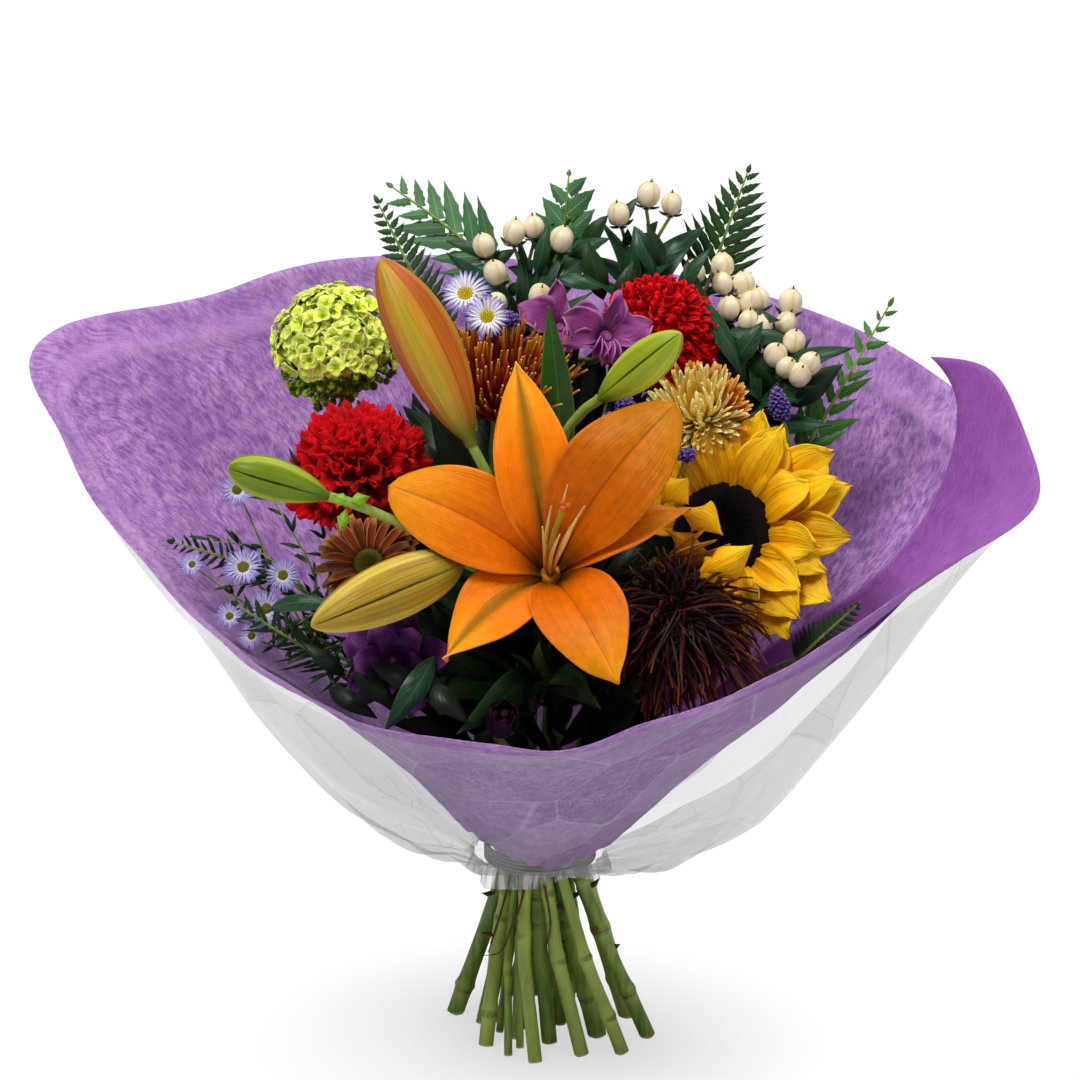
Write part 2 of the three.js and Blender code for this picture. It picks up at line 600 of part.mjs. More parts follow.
const bouquet = new THREE.Group();
bouquet.name = 'bouquet';
bouquet.position.set(5.6, 16.5, 0); // puts the middle of the whole bouquet's width and depth over the origin

const SLIVER = 0.08; // slivers thinner than this are dropped
function mesh(name, body, look) {
  const made = body.simplify(SLIVER).getMesh();
  const positions = new Float32Array(made.numVert * 3);
  for (let i = 0; i < made.numVert; i++) {
    for (let k = 0; k < 3; k++) positions[3 * i + k] = made.vertProperties[i * made.numProp + k];
  }
  const geometry = new THREE.BufferGeometry();
  geometry.setAttribute('position', new THREE.BufferAttribute(positions, 3));
  geometry.setIndex(new THREE.BufferAttribute(made.triVerts, 1));
  const [color, roughness] = LOOKS[look];
  const piece = new THREE.Mesh(geometry, new THREE.MeshStandardMaterial({ color, roughness, metalness: 0 }));
  piece.name = name;
  return piece;
}

// A flower: its stem lies in the bouquet's frame, and its blooms sit on the stem's end.
function flower(s, stemMesh, blooms) {
  const group = new THREE.Group();
  group.add(stemMesh);
  const head = new THREE.Group();
  head.position.copy(s.at);
  head.quaternion.setFromUnitVectors(UP, s.axis);
  head.add(...blooms);
  group.add(head);
  bouquet.add(group);
}

const onHead = (s, body) => moved(body, s.at, s.axis);

const S = STEMS;

// The lily: the four buds leave the top of its stem on their own stalks.
const BUDS = {
  large: { base: [-30, -84, 322], tip: [-70, -66, 402], radius: 15.5, look: 'budOrange' },
  right: { base: [25, -72, 339], tip: [61, -92, 375], radius: 10.5, look: 'budGreen' },
  left: { base: [-90, -116, 308], tip: [-134, -120, 323], radius: 9.6, look: 'budGreen' },
  lower: { base: [-36, -118, 271], tip: [-96, -150, 263], radius: 13.5, look: 'budOlive' },
};
const lilyFork = bendOf(S.lily, 1);
const stalks = {
  large: [[-18, -78, 262], [-24, -86, 296]],
  right: [[10, -66, 268], [16, -64, 306]],
  left: [[-26, -92, 262], [-58, -108, 288]],
  lower: [[-12, -84, 244], [-22, -104, 262]],
};
const lilyBuds = Object.entries(BUDS).map(([name, bud]) => {
  const base = vec(...bud.base);
  const axis = vec(...bud.tip).sub(base);
  const body = mesh(`lily_bud_${name}`, lilyBud(axis.length(), bud.radius), bud.look);
  body.position.copy(base);
  body.quaternion.setFromUnitVectors(UP, axis.clone().normalize());
  bouquet.add(body);
  const end = base.clone().addScaledVector(axis.clone().normalize(), -SEAT);
  const neck = end.clone().addScaledVector(axis, -0.12);
  return tube([lilyFork, ...stalks[name].map((p) => vec(...p)), neck, end], [2.4, 2, 2, 2, 2.1], 4);
});
const lilyLeaves = [
  leaf(bendOf(S.lily, 2), vec(8, -52, 376), vec(0, -1, 0.2), 8, { bow: 0.04, rows: 4 }),
  leaf(bendOf(S.lily, 3), vec(8, -140, 220), vec(0, 0, 1), 8),
  leaf(bendOf(S.lily, 2), vec(-62, -124, 208), vec(0, 0, 1), 9),
  leaf(bendOf(S.lily, 3), vec(38, -124, 204), vec(0, 0, 1), 9),
];
flower(S.lily, mesh('lily_stem', fuse(stem(S.lily, 6), lilyBuds, lilyLeaves), 'stem'), [
  mesh('lily_bloom', lilyBloom(), 'lily'),
  mesh('lily_stamens', lilyStamens(), 'stamen'),
]);

flower(S.sunflower, mesh('sunflower_stem',
  fuse(stem(S.sunflower, 6, 5), onHead(S.sunflower, sunflowerBack())), 'stem'), [
  mesh('sunflower_rays', sunflowerRays(), 'sunflower'),
  mesh('sunflower_disc', sunflowerDisc(), 'disc'),
]);

const calyx = (r, length) => turned([[r * 0.5, -length], [r, -length * 0.6], [r * 1.1, -SEAT]], 6);
flower(S.carnation, mesh('carnation_stem',
  fuse(stem(S.carnation, 6), onHead(S.carnation, calyx(6, 18))), 'stem'), [
  mesh('carnation_bloom', carnationBloom(), 'carnation')]);
flower(S.pompon, mesh('pompon_stem', stem(S.pompon, 6), 'stem'), [
  mesh('pompon_bloom', pomponBloom(), 'pompon')]);
flower(S.hydrangea, mesh('hydrangea_stem', stem(S.hydrangea, 6), 'stem'), [
  mesh('hydrangea_bloom', hydrangeaBloom(), 'hydrangea')]);
flower(S.quillMum, mesh('quill_mum_stem', stem(S.quillMum, 6), 'stem'), [
  mesh('quill_mum_bloom', quillHead({
    count: 23, length: 41, radius: 1.6, tilt: [4, 50], curl: [-8, 12], heart: 7, tip: 0.6, from: 2,
  }), 'quill')]);
flower(S.goldenMum, mesh('golden_mum_stem', stem(S.goldenMum, 6), 'stem'), [
  mesh('golden_mum_bloom', quillHead({
    count: 24, length: 22, radius: 2.1, tilt: [8, 92], curl: [-12, 26], heart: 7, tip: 0.8, from: 2.5,
  }), 'gold')]);
flower(S.rustDaisy, mesh('rust_daisy_stem', stem(S.rustDaisy, 6), 'stem'), [
  mesh('rust_daisy_rays', rustRays(), 'rust'),
  mesh('rust_daisy_disc', domedDisc(6, 3.5), 'olive')]);
flower(S.darkMum, mesh('dark_mum_stem', stem(S.darkMum, 6), 'stem'), [
  mesh('dark_mum_bloom', quillHead({
    count: 28, length: 36, radius: 1.7, tilt: [34, 96], curl: [16, -26], heart: 8, tip: 0.5, from: 4,
  }), 'dark')]);

// The orchid spray carries two flowers; the second stands on a side stalk.
const secondOrchid = { at: vec(29, -16, 353), axis: vec(0.25, -0.85, 0.45).normalize() };
const orchidFork = bendOf(S.orchid, 1);
const orchidEnd = secondOrchid.at.clone().addScaledVector(secondOrchid.axis, -SEAT);
const orchidStalk = tube([orchidFork, vec(25, 0, 338), orchidEnd], [1.8, 1.6, 1.5], 6);
flower(S.orchid, mesh('orchid_stem', fuse(stem(S.orchid, 6), orchidStalk), 'stem'), [
  mesh('orchid_flower_left', orchidFlower(0.95), 'orchid')]);
const orchidRight = mesh('orchid_flower_right', orchidFlower(0.9), 'orchid');
orchidRight.position.copy(secondOrchid.at);
orchidRight.quaternion.setFromUnitVectors(UP, secondOrchid.axis);
bouquet.add(orchidRight);

flower(S.purpleLow, mesh('purple_low_stem', stem(S.purpleLow, 6), 'stem'), [
  mesh('purple_low_bloom', cupBloom({
    petals: 5, length: 25, half: 8.5, from: 44, to: 4, heart: [[2, 0.2], [5, 4], [4.5, 9], [1.5, 13]],
  }), 'orchid')]);
flower(S.darkBud, mesh('plum_bud_stem', stem(S.darkBud, 6), 'stem'), [
  mesh('plum_bud', cupBloom({
    petals: 4, length: 22, half: 6.5, from: 74, to: 62, heart: [[2, 0.2], [7, 6], [6.5, 17], [1.5, 27]],
  }), 'plum')]);

// Berry sprays: places of the berries on each, read off the bouquet.
const BERRIES = {
  hypericumLeft: [[-26, 28, 386], [-19, 24, 372], [-23, 14, 362], [0, 12, 372], [-10, 34, 394], [2, 36, 396],
    [15, 32, 390]],
  hypericumMid: [[37, 46, 396], [51, 52, 408], [64, 50, 400]],
  hypericumRight: [[75, 50, 378], [88, 44, 379], [101, 42, 371], [93, 32, 363], [107, 30, 359], [99, 22, 353],
    [121, 32, 364], [119, 26, 351], [113, 14, 338], [125, 14, 334]],
};
const SPRAY_LEAVES = {
  hypericumLeft: [[24, 40, 378]],
  hypericumMid: [[76, 62, 384]],
  hypericumRight: [[144, 10, 336], [128, 34, 340]],
};
const SPRAYS = { hypericumLeft: 'hypericum_left', hypericumMid: 'hypericum_mid', hypericumRight: 'hypericum_right' };
for (const [key, name] of Object.entries(SPRAYS)) {
  const s = S[key];
  bouquet.add(mesh(name, fuse(
    stem(s, 5),
    BERRIES[key].map((p, i) => berryOn(s, vec(...p), i)),
    SPRAY_LEAVES[key].map((p) => leaf(belowEnd(s, 14), vec(...p), vec(0, -0.5, 0.85), 7)),
  ), 'berry'));
}

// Aster sprays: each daisy stands on its own stalk and faces out. Each is listed as a place and a radius.
const DAISIES = {
  asterTop: {
    name: 'aster_top',
    face: vec(-0.05, -0.75, 0.6),
    heads: [[-34, -10, 372, 11], [-24, -24, 365, 11]],
  },
  asterLeft: {
    name: 'aster_left',
    face: vec(-0.1, -0.8, 0.5),
    heads: [[-134, -62, 258, 9], [-115, -76, 259, 8], [-122, -84, 246, 8], [-140, -72, 238, 7], [-129, -84, 233, 7],
      [-138, -40, 288, 8], [-158, -52, 256, 6]],
  },
};
for (const [key, { name, face, heads }] of Object.entries(DAISIES)) {
  const s = S[key];
  bouquet.add(mesh(name, fuse(stem(s, 4), heads.map(([x, y, z, r], i) => {
    const at = vec(x, y, z);
    const rays = r > 10 ? 10 : 7;
    const fork = belowEnd(s, 1 + 2 * i);
    const hold = vec(r * 0.25, 0, r * 0.12).applyAxisAngle(UP, Math.PI / rays)
      .applyQuaternion(facing(face)).add(at);
    return fuse(moved(daisy(r, rays), at, face), peg(fork, hold, 1, 0.8, 3));
  })), 'aster'));
}

const spike = turned([[1, -2], [3.4, 0], [3.8, 5], [2.8, 10], [0.8, 14]], 8,
  (angle, h) => 1 + 0.2 * Math.cos(4 * angle + h));
bouquet.add(mesh('statice', fuse(stem(S.statice, 4), moved(spike, S.statice.at, S.statice.axis)), 'statice'));

// Fern fronds: each grows from the end of its own stem.
const FRONDS = {
  fernLeft: { name: 'fern_left', tip: [-78, 48, 406], half: 17, pairs: 8 },
  fernBack: { name: 'fern_back', tip: [-74, 84, 404], half: 20, pairs: 7, forward: 0.8 },
  fernCentre: { name: 'fern_centre', tip: [14, 76, 412], half: 13, pairs: 6, forward: 0.9 },
  fernTall: { name: 'fern_tall', tip: [100, 70, 416], half: 20, pairs: 8 },
  fernRight: { name: 'fern_right', tip: [168, 50, 356], half: 20, pairs: 8 },
  fernLowRight: { name: 'fern_low_right', tip: [150, -94, 250], half: 14, pairs: 7 },
  fernLowLeft: { name: 'fern_low_left', tip: [-138, -90, 252], half: 18, pairs: 8 },
  fernFarLeft: { name: 'fern_far_left', tip: [-172, -34, 262], half: 16, pairs: 8 },
};
for (const [key, { name, tip, ...shape }] of Object.entries(FRONDS)) {
  const s = S[key];
  const root = belowEnd(s, 2);
  bouquet.add(mesh(name, fuse(stem(s, 4), frond(root, vec(...tip), vec(0, -0.9, 0.4), shape)), 'fern'));
}

bouquet.add(mesh('tie_band', tieBand(), 'tie'));
bouquet.add(mesh('purple_wrap', purpleWrap(), 'wrap'));
bouquet.add(mesh('clear_film', clearFilm(), 'film'));

export default bouquet;
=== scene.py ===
# %% [markdown]
# # A mixed bouquet in its wrapper
# This lesson dresses the solids of a hand-tied bunch: lily, sunflower, carnation, chrysanthemums,
# berries and fern, held at the waist inside a purple non-woven sheet and a clear film. The solids come
# first, because every finer piece has to lie where its solid lies.

import math
import random

import bmesh
import bpy
from mathutils import Matrix, Vector, noise


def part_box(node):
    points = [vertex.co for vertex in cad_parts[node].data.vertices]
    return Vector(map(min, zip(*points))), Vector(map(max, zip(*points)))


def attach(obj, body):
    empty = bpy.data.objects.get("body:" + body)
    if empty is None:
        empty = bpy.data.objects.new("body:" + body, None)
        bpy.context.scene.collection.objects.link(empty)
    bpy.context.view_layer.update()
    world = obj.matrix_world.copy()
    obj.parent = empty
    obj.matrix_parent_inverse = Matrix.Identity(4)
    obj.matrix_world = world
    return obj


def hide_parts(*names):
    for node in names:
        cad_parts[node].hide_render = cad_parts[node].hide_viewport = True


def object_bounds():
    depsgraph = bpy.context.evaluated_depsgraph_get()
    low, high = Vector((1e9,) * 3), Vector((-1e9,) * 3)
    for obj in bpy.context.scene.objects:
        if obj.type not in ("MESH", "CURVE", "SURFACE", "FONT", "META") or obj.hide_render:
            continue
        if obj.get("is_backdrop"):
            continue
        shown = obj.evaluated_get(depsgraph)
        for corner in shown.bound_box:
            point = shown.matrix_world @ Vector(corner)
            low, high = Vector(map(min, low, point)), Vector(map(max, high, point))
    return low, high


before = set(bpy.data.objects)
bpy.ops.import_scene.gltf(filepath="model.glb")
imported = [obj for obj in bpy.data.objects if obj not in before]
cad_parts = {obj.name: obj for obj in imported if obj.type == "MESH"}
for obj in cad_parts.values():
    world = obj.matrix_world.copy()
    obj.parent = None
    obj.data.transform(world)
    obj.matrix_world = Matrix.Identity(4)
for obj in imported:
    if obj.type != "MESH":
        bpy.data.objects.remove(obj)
cad_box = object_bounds()
print("solids", len(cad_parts), "box", [[round(c, 3) for c in corner] for corner in cad_box])

# %% [markdown]
# ## Camera, floor and light
# The bouquet was photographed on a white sweep from a little above its middle. A long lens keeps the
# stems nearly parallel, and the white floor fills the whole view behind the flowers.

# %% Camera
VIEW_HEIGHT = 0.251  # the camera looks at this height, in metres
VIEW_DISTANCE = 1.6
VIEW_RISE = math.radians(18)
FRAME_WIDTH = 0.00047 * 1080  # metres across the picture at the bouquet
HOME = Vector((0.0056, 0.0165, 0))  # where the stems' axis stands on the floor

camera = bpy.data.objects.new("camera", bpy.data.cameras.new("camera"))
bpy.context.collection.objects.link(camera)
bpy.context.scene.camera = camera
camera.data.sensor_width = 36
camera.data.lens = 36 * VIEW_DISTANCE / FRAME_WIDTH
look_at = HOME + Vector((0, 0, VIEW_HEIGHT))
camera.location = look_at + VIEW_DISTANCE * Vector((0, -math.cos(VIEW_RISE), math.sin(VIEW_RISE)))
camera.rotation_euler = (look_at - camera.location).to_track_quat("-Z", "Y").to_euler()
print("camera", camera.location, "lens", round(camera.data.lens, 1))


# %% [markdown]
# ## Helpers for materials
# A material is a small net of nodes. These helpers add the nodes, join them and hand back the socket that
# the next step needs, so that a skin reads like a formula.

# %% Helpers for nodes
class Nodes:
    """Adds nodes to one tree and joins them as they are made."""

    def __init__(self, tree):
        self.tree = tree

    def add(self, kind, inputs=None, **settings):
        made = self.tree.nodes.new(kind)
        for key, value in settings.items():
            setattr(made, key, value)
        for key, value in (inputs or {}).items():
            if isinstance(value, bpy.types.NodeSocket):
                self.tree.links.new(value, made.inputs[key])
            else:
                made.inputs[key].default_value = value
        return made

    def math(self, operation, a, b=0.0):
        return self.add("ShaderNodeMath", {0: a, 1: b}, operation=operation).outputs[0]

    def plus(self, a, b):
        return self.math("ADD", a, b)

    def minus(self, a, b):
        return self.math("SUBTRACT", a, b)

    def times(self, a, b):
        return self.math("MULTIPLY", a, b)

    def point(self, x, y, z=0.0):
        return self.add("ShaderNodeCombineXYZ", {0: x, 1: y, 2: z}).outputs[0]

    def edge(self, across):
        """How far a point lies from a petal's middle line: 0 there and 1 at the petal's edges."""
        return self.math("ABSOLUTE", self.minus(self.times(across, 2.0), 1.0))

    def span(self, value, low, high, to_low=0.0, to_high=1.0):
        """A smooth step: value runs from low to high, and the result from to_low to to_high."""
        made = self.add("ShaderNodeMapRange", {0: value, 1: low, 2: high, 3: to_low, 4: to_high})
        made.interpolation_type = "SMOOTHSTEP"
        return made.outputs[0]

    def mix(self, share, a, b, blend="MIX"):
        made = self.add("ShaderNodeMix", {0: share, 6: a, 7: b}, data_type="RGBA", blend_type=blend)
        return made.outputs[2]

    def noise(self, vector, scale, detail=2.0, rough=0.5):
        inputs = {"Vector": vector, "Scale": scale, "Detail": detail, "Roughness": rough}
        return self.add("ShaderNodeTexNoise", inputs).outputs[0]

    def stretch(self, vector, scale):
        return self.add("ShaderNodeMapping", {"Vector": vector, "Scale": scale}).outputs[0]

    def place(self):
        return self.add("ShaderNodeTexCoord").outputs["Object"]

    def petal_axes(self):
        """Across and along a petal, from its own map, and the petal's tone."""
        axes = self.add("ShaderNodeSeparateXYZ", {0: self.add("ShaderNodeUVMap", uv_map="UVMap").outputs[0]})
        tone = self.add("ShaderNodeAttribute", attribute_name="tone").outputs["Fac"]
        return axes.outputs[0], axes.outputs[1], tone


def ink(code):
    """A colour as linear light, from a web code."""
    parts = [int(code[i : i + 2], 16) / 255 for i in (0, 2, 4)]
    return (*[p / 12.92 if p < 0.04045 else ((p + 0.055) / 1.055) ** 2.4 for p in parts], 1.0)


SKIN_OUTPUTS = {"Colour": "NodeSocketColor", "Height": "NodeSocketFloat"}


def group(name, inputs, outputs=SKIN_OUTPUTS):
    """An empty node group with its sockets. A tuple is a colour, a number a value."""
    tree = bpy.data.node_groups.new(name, "ShaderNodeTree")
    for label, value in inputs.items():
        kind = "NodeSocketColor" if isinstance(value, tuple) else "NodeSocketFloat"
        tree.interface.new_socket(name=label, in_out="INPUT", socket_type=kind).default_value = value
    for label, kind in outputs.items():
        tree.interface.new_socket(name=label, in_out="OUTPUT", socket_type=kind)
    nodes = Nodes(tree)
    return nodes, nodes.add("NodeGroupInput").outputs, nodes.add("NodeGroupOutput").inputs


def socket_name(key):
    """The name of a socket, from a keyword."""
    return key.replace("_", " ").title().replace("Ior", "IOR")


def finish(name, skin, values=None, bump=0.2, reach=0.0004, **constants):
    """A material: a skin group's colour and height feed one Principled shader."""
    material = bpy.data.materials.new(name)
    material.use_nodes = True
    nodes = Nodes(material.node_tree)
    shader = material.node_tree.nodes["Principled BSDF"]
    for key, value in constants.items():
        shader.inputs[socket_name(key)].default_value = value
    made = nodes.add("ShaderNodeGroup", values, node_tree=bpy.data.node_groups[skin])
    bumps = {"Strength": bump, "Distance": reach, "Height": made.outputs["Height"]}
    raised = nodes.add("ShaderNodeBump", bumps)
    nodes.tree.links.new(made.outputs["Colour"], shader.inputs["Base Color"])
    nodes.tree.links.new(raised.outputs[0], shader.inputs["Normal"])
    return material


print("node helpers ready")

# %% [markdown]
# A white paper sweep is only nearly white: a faint tooth keeps its shadow soft. Large soft lamps stand
# where a studio has them, high at the front left, low at the right, and one above.

# %% Floor and lamps
KEY_LAMP = {"at": (-0.7, -0.9, 2.1), "size": 0.7, "power": 30}
FILL_LAMP = {"at": (1.5, -1.2, 0.9), "size": 1.2, "power": 4}
TOP_LAMP = {"at": (0.5, 0.35, 2.0), "size": 0.8, "power": 16}
WORLD_LIGHT = 0.2
SHADOW_REACH = (1 / 0.17, 1 / 0.14, 0)  # one over the half widths in metres of the field where shadows show
FLOOR_REACH = 14  # half the floor's breadth, in metres
SHADOW_SHARE = 0.42  # how much of the floor's own shading the camera sees there
FLOOR_WHITE = 1.02  # outside that field the camera sees the floor exposed to plain white

floor_mesh = bmesh.new()
bmesh.ops.create_grid(floor_mesh, x_segments=2, y_segments=2, size=FLOOR_REACH)
floor = bpy.data.objects.new("floor", bpy.data.meshes.new("floor"))
floor_mesh.to_mesh(floor.data)
floor_mesh.free()
bpy.context.collection.objects.link(floor)
floor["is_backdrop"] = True

nodes, _, out = group("paper skin", {})
tooth = nodes.noise(nodes.place(), 350.0, 3.0)
nodes.tree.links.new(nodes.mix(tooth, ink("F4F4F4"), ink("FCFCFC")), out["Colour"])
nodes.tree.links.new(tooth, out["Height"])
PAPER = finish("paper sweep", "paper skin", bump=0.05, roughness=0.9)
nodes = Nodes(PAPER.node_tree)
away = nodes.add("ShaderNodeVectorMath", {0: nodes.stretch(nodes.place(), SHADOW_REACH)}, operation="LENGTH")
shaded = nodes.span(away.outputs["Value"], 0.1, 1.0, SHADOW_SHARE, 0.0)
seen = nodes.add("ShaderNodeLightPath").outputs["Is Camera Ray"]
hidden = nodes.times(seen, nodes.minus(1.0, shaded))
paper_shader = PAPER.node_tree.nodes["Principled BSDF"]
paper_colour = paper_shader.inputs["Base Color"].links[0].from_socket
nodes.tree.links.new(nodes.mix(hidden, paper_colour, ink("000000")), paper_shader.inputs["Base Color"])
nodes.tree.links.new(nodes.times(hidden, FLOOR_WHITE), paper_shader.inputs["Emission Strength"])
paper_shader.inputs["Emission Color"].default_value = ink("FFFFFF")
paper_shader.inputs["Specular IOR Level"].default_value = 0.0
floor.data.materials.append(PAPER)


def lamp(name, at, size, power):
    made = bpy.data.objects.new(name, bpy.data.lights.new(name, "AREA"))
    made.data.size = size
    made.data.energy = power
    made.location = at
    made.rotation_euler = (look_at - made.location).to_track_quat("-Z", "Y").to_euler()
    bpy.context.collection.objects.link(made)


lamp("key lamp", **KEY_LAMP)
lamp("fill lamp", **FILL_LAMP)
lamp("top lamp", **TOP_LAMP)
world = bpy.data.worlds.new("studio")
bpy.context.scene.world = world
world.use_nodes = True
world.node_tree.nodes["Background"].inputs[0].default_value = (1, 1, 1, 1)
world.node_tree.nodes["Background"].inputs[1].default_value = WORLD_LIGHT
bpy.context.scene.view_settings.view_transform = "Standard"
print("floor and", len(bpy.data.lights), "lamps")

# %% [markdown]
# ## Tools for thin living things
# Nearly everything here is either a blade, such as a petal or a leaf, or a tube, such as a stem, a quill
# or a berry. Both start as a flat grid, whose points are then moved: a blade follows a line and curls
# across it, and a tube is a grid rolled up. All sizes are in millimetres, measured from the stems' axis.

# %% Lines
UP = Vector((0, 0, 1))
GOLDEN = math.radians(137.508)  # the turn from one petal to the next in a spiral


def bow(values, t):
    """A smooth curve through values that are evenly spaced from 0 to 1."""
    if not isinstance(values, (list, tuple)):
        return values
    last = len(values) - 1
    k = min(int(t * last), last - 1)
    f = t * last - k
    a, b, c, d = (values[min(max(i, 0), last)] for i in (k - 1, k, k + 1, k + 2))
    return b + 0.5 * f * (c - a + f * (2 * a - 5 * b + 4 * c - d + f * (3 * (b - c) + d - a)))


def smooth(points, steps):
    """A smooth line through points."""
    points = [Vector(p) for p in points]
    return [
        Vector([bow([p[axis] for p in points], k / steps) for axis in range(3)]) for k in range(steps + 1)
    ]


def arc(start, length, rise, turn, steps=12):
    """A line that leaves the axis at [radius, height], bending through the rises listed, in degrees."""
    radius, height = start
    line = []
    for k in range(steps + 1):
        line.append(polar(radius, turn, height))
        angle = math.radians(bow(rise, (k + 0.5) / steps)) if k < steps else 0
        radius += math.cos(angle) * length / steps
        height += math.sin(angle) * length / steps
    return line


def polar(radius, turn, height=0.0):
    """The point at a radius and an angle round the axis."""
    return Vector((radius * math.cos(turn), radius * math.sin(turn), height))


def upright(*heights):
    """A line straight up the axis."""
    return [Vector((0, 0, z)) for z in heights]


def shaken(draw, size):
    """A small step to any side."""
    return Vector((draw.uniform(-1, 1), draw.uniform(-1, 1), draw.uniform(-1, 1))) * size


def tangents(line):
    last = len(line) - 1
    return [(line[min(k + 1, last)] - line[max(k - 1, 0)]).normalized() for k in range(last + 1)]

# %% [markdown]
# Each blade and tube keeps its grid as a map, across in u and along in v, and a tone in every point. The
# skins read both. A finished piece is scaled to metres, moved home, and the solid it stands for is hidden.

# %% Blades and tubes
def new_form():
    bm = bmesh.new()
    bm.loops.layers.uv.new("UVMap")
    bm.verts.layers.float.new("tone")
    return bm


def patch(bm, across, along, place, tone=0.5, skin=0):
    """A grid whose points move to place(u, v), with u across and v along, both from 0 to 1."""
    layer = bm.verts.layers.float["tone"]
    made = bmesh.ops.create_grid(bm, x_segments=across, y_segments=along, size=0.5, calc_uvs=True)["verts"]
    for vert in made:
        u, v = vert.co.x + 0.5, vert.co.y + 0.5
        vert[layer] = tone(u, v) if callable(tone) else tone
        vert.co = place(u, v)
        if skin:
            for face in vert.link_faces:
                face.material_index = skin
    return made


def blade(bm, line, side, width, curl=0.3, across=4, lift=None, reach=None, tone=0.5, skin=0, sway=0.0,
          twist=0.0):
    """A petal or leaf along a line. width is half its breadth, and curl the angle its edges turn up to.
    Towards its tip it sways aside by sway, and turns about its own line by twist."""
    ways = tangents(line)
    last = len(line) - 1

    def place(u, v):
        k = min(round(v * last), last)
        c = 1 - 2 * u
        up = ways[k].cross(side).normalized()
        over = side
        if twist:
            over = side * math.cos(twist * v) + up * math.sin(twist * v)
            up = ways[k].cross(over).normalized()
        half = max(width(v) if callable(width) else bow(width, v), 0)
        turn = bow(curl, v) or 1e-4
        point = line[k] + side * (sway * v * v) + over * (half * math.sin(c * turn) / turn)
        point = point + up * (half * (1 - math.cos(c * turn)) / turn)
        if lift:
            point = point + up * lift(c, v)
        if reach:
            point = point + ways[k] * reach(c, v)
        return point

    return patch(bm, across, last, place, tone, skin)


def petal(bm, turn, start, length, rise, width, steps=10, **shape):
    """A blade that leaves a flower's axis at an angle."""
    side = Vector((-math.sin(turn), math.cos(turn), 0))
    return blade(bm, arc(start, length, rise, turn, steps), side, width, **shape)


def tube(bm, line, radius, sides=8, tone=0.5, ripple=None, skin=0):
    """A closed tube along a line."""
    ways = tangents(line)
    normal = Vector((1, 0, 0)) if abs(ways[0].x) < 0.9 else Vector((0, 1, 0))
    rings = []
    for centre, way in zip(line, ways):
        normal = (normal - way * normal.dot(way)).normalized()
        rings.append((centre, normal.copy(), way.cross(normal)))
    last = len(line) - 1

    def place(u, v):
        row = round(v * (last + 2)) - 1
        k = min(max(row, 0), last)
        centre, across, over = rings[k]
        if row != k:
            return centre.copy()
        angle = 2 * math.pi * u
        thick = bow(radius, k / last) * (ripple(angle, k / last) if ripple else 1)
        return centre + across * (thick * math.cos(angle)) + over * (thick * math.sin(angle))

    return patch(bm, sides, last + 2, place, tone, skin)


def facing(at, axis, roll=0.0):
    """The place of a flower: its face looks along axis."""
    turn = UP.rotation_difference(Vector(axis).normalized()).to_matrix().to_4x4()
    return Matrix.Translation(Vector(at)) @ turn @ Matrix.Rotation(roll, 4, "Z")


def put(bm, verts, at, axis=UP, roll=0.0):
    """Moves points made round the origin to their place."""
    bmesh.ops.transform(bm, matrix=facing(at, axis, roll), verts=verts)


def settle(bm, name, materials, slot, nodes=(), at=None, axis=UP, thick=0.0, crease=50):
    """Makes the finished piece from its form: closed seams, place in its mesh, finish and ride."""
    bmesh.ops.remove_doubles(bm, verts=bm.verts, dist=0.002)
    if at is not None:
        put(bm, bm.verts, at, axis)
    bmesh.ops.transform(bm, matrix=Matrix.Translation(HOME) @ Matrix.Scale(0.001, 4), verts=bm.verts)
    mesh = bpy.data.meshes.new(name)
    bm.to_mesh(mesh)
    bm.free()
    mesh.shade_smooth()
    mesh.set_sharp_from_angle(angle=math.radians(crease))
    for material in materials if isinstance(materials, list) else [materials]:
        mesh.materials.append(material)
    piece = bpy.data.objects.new(name, mesh)
    bpy.context.collection.objects.link(piece)
    if thick:
        wall = piece.modifiers.new("wall", "SOLIDIFY")
        wall.thickness = thick / 1000
        wall.offset = 0
    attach(piece, "root")
    if nodes:
        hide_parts(*([nodes] if isinstance(nodes, str) else nodes))
    print(name, len(mesh.polygons), "faces")
    return piece

# %% [markdown]
# ## Where everything stands
# Each flower is a place, the way it faces, and the thickness of its stem at the foot and the neck. The
# places are the same driving sizes that the solids were made from.

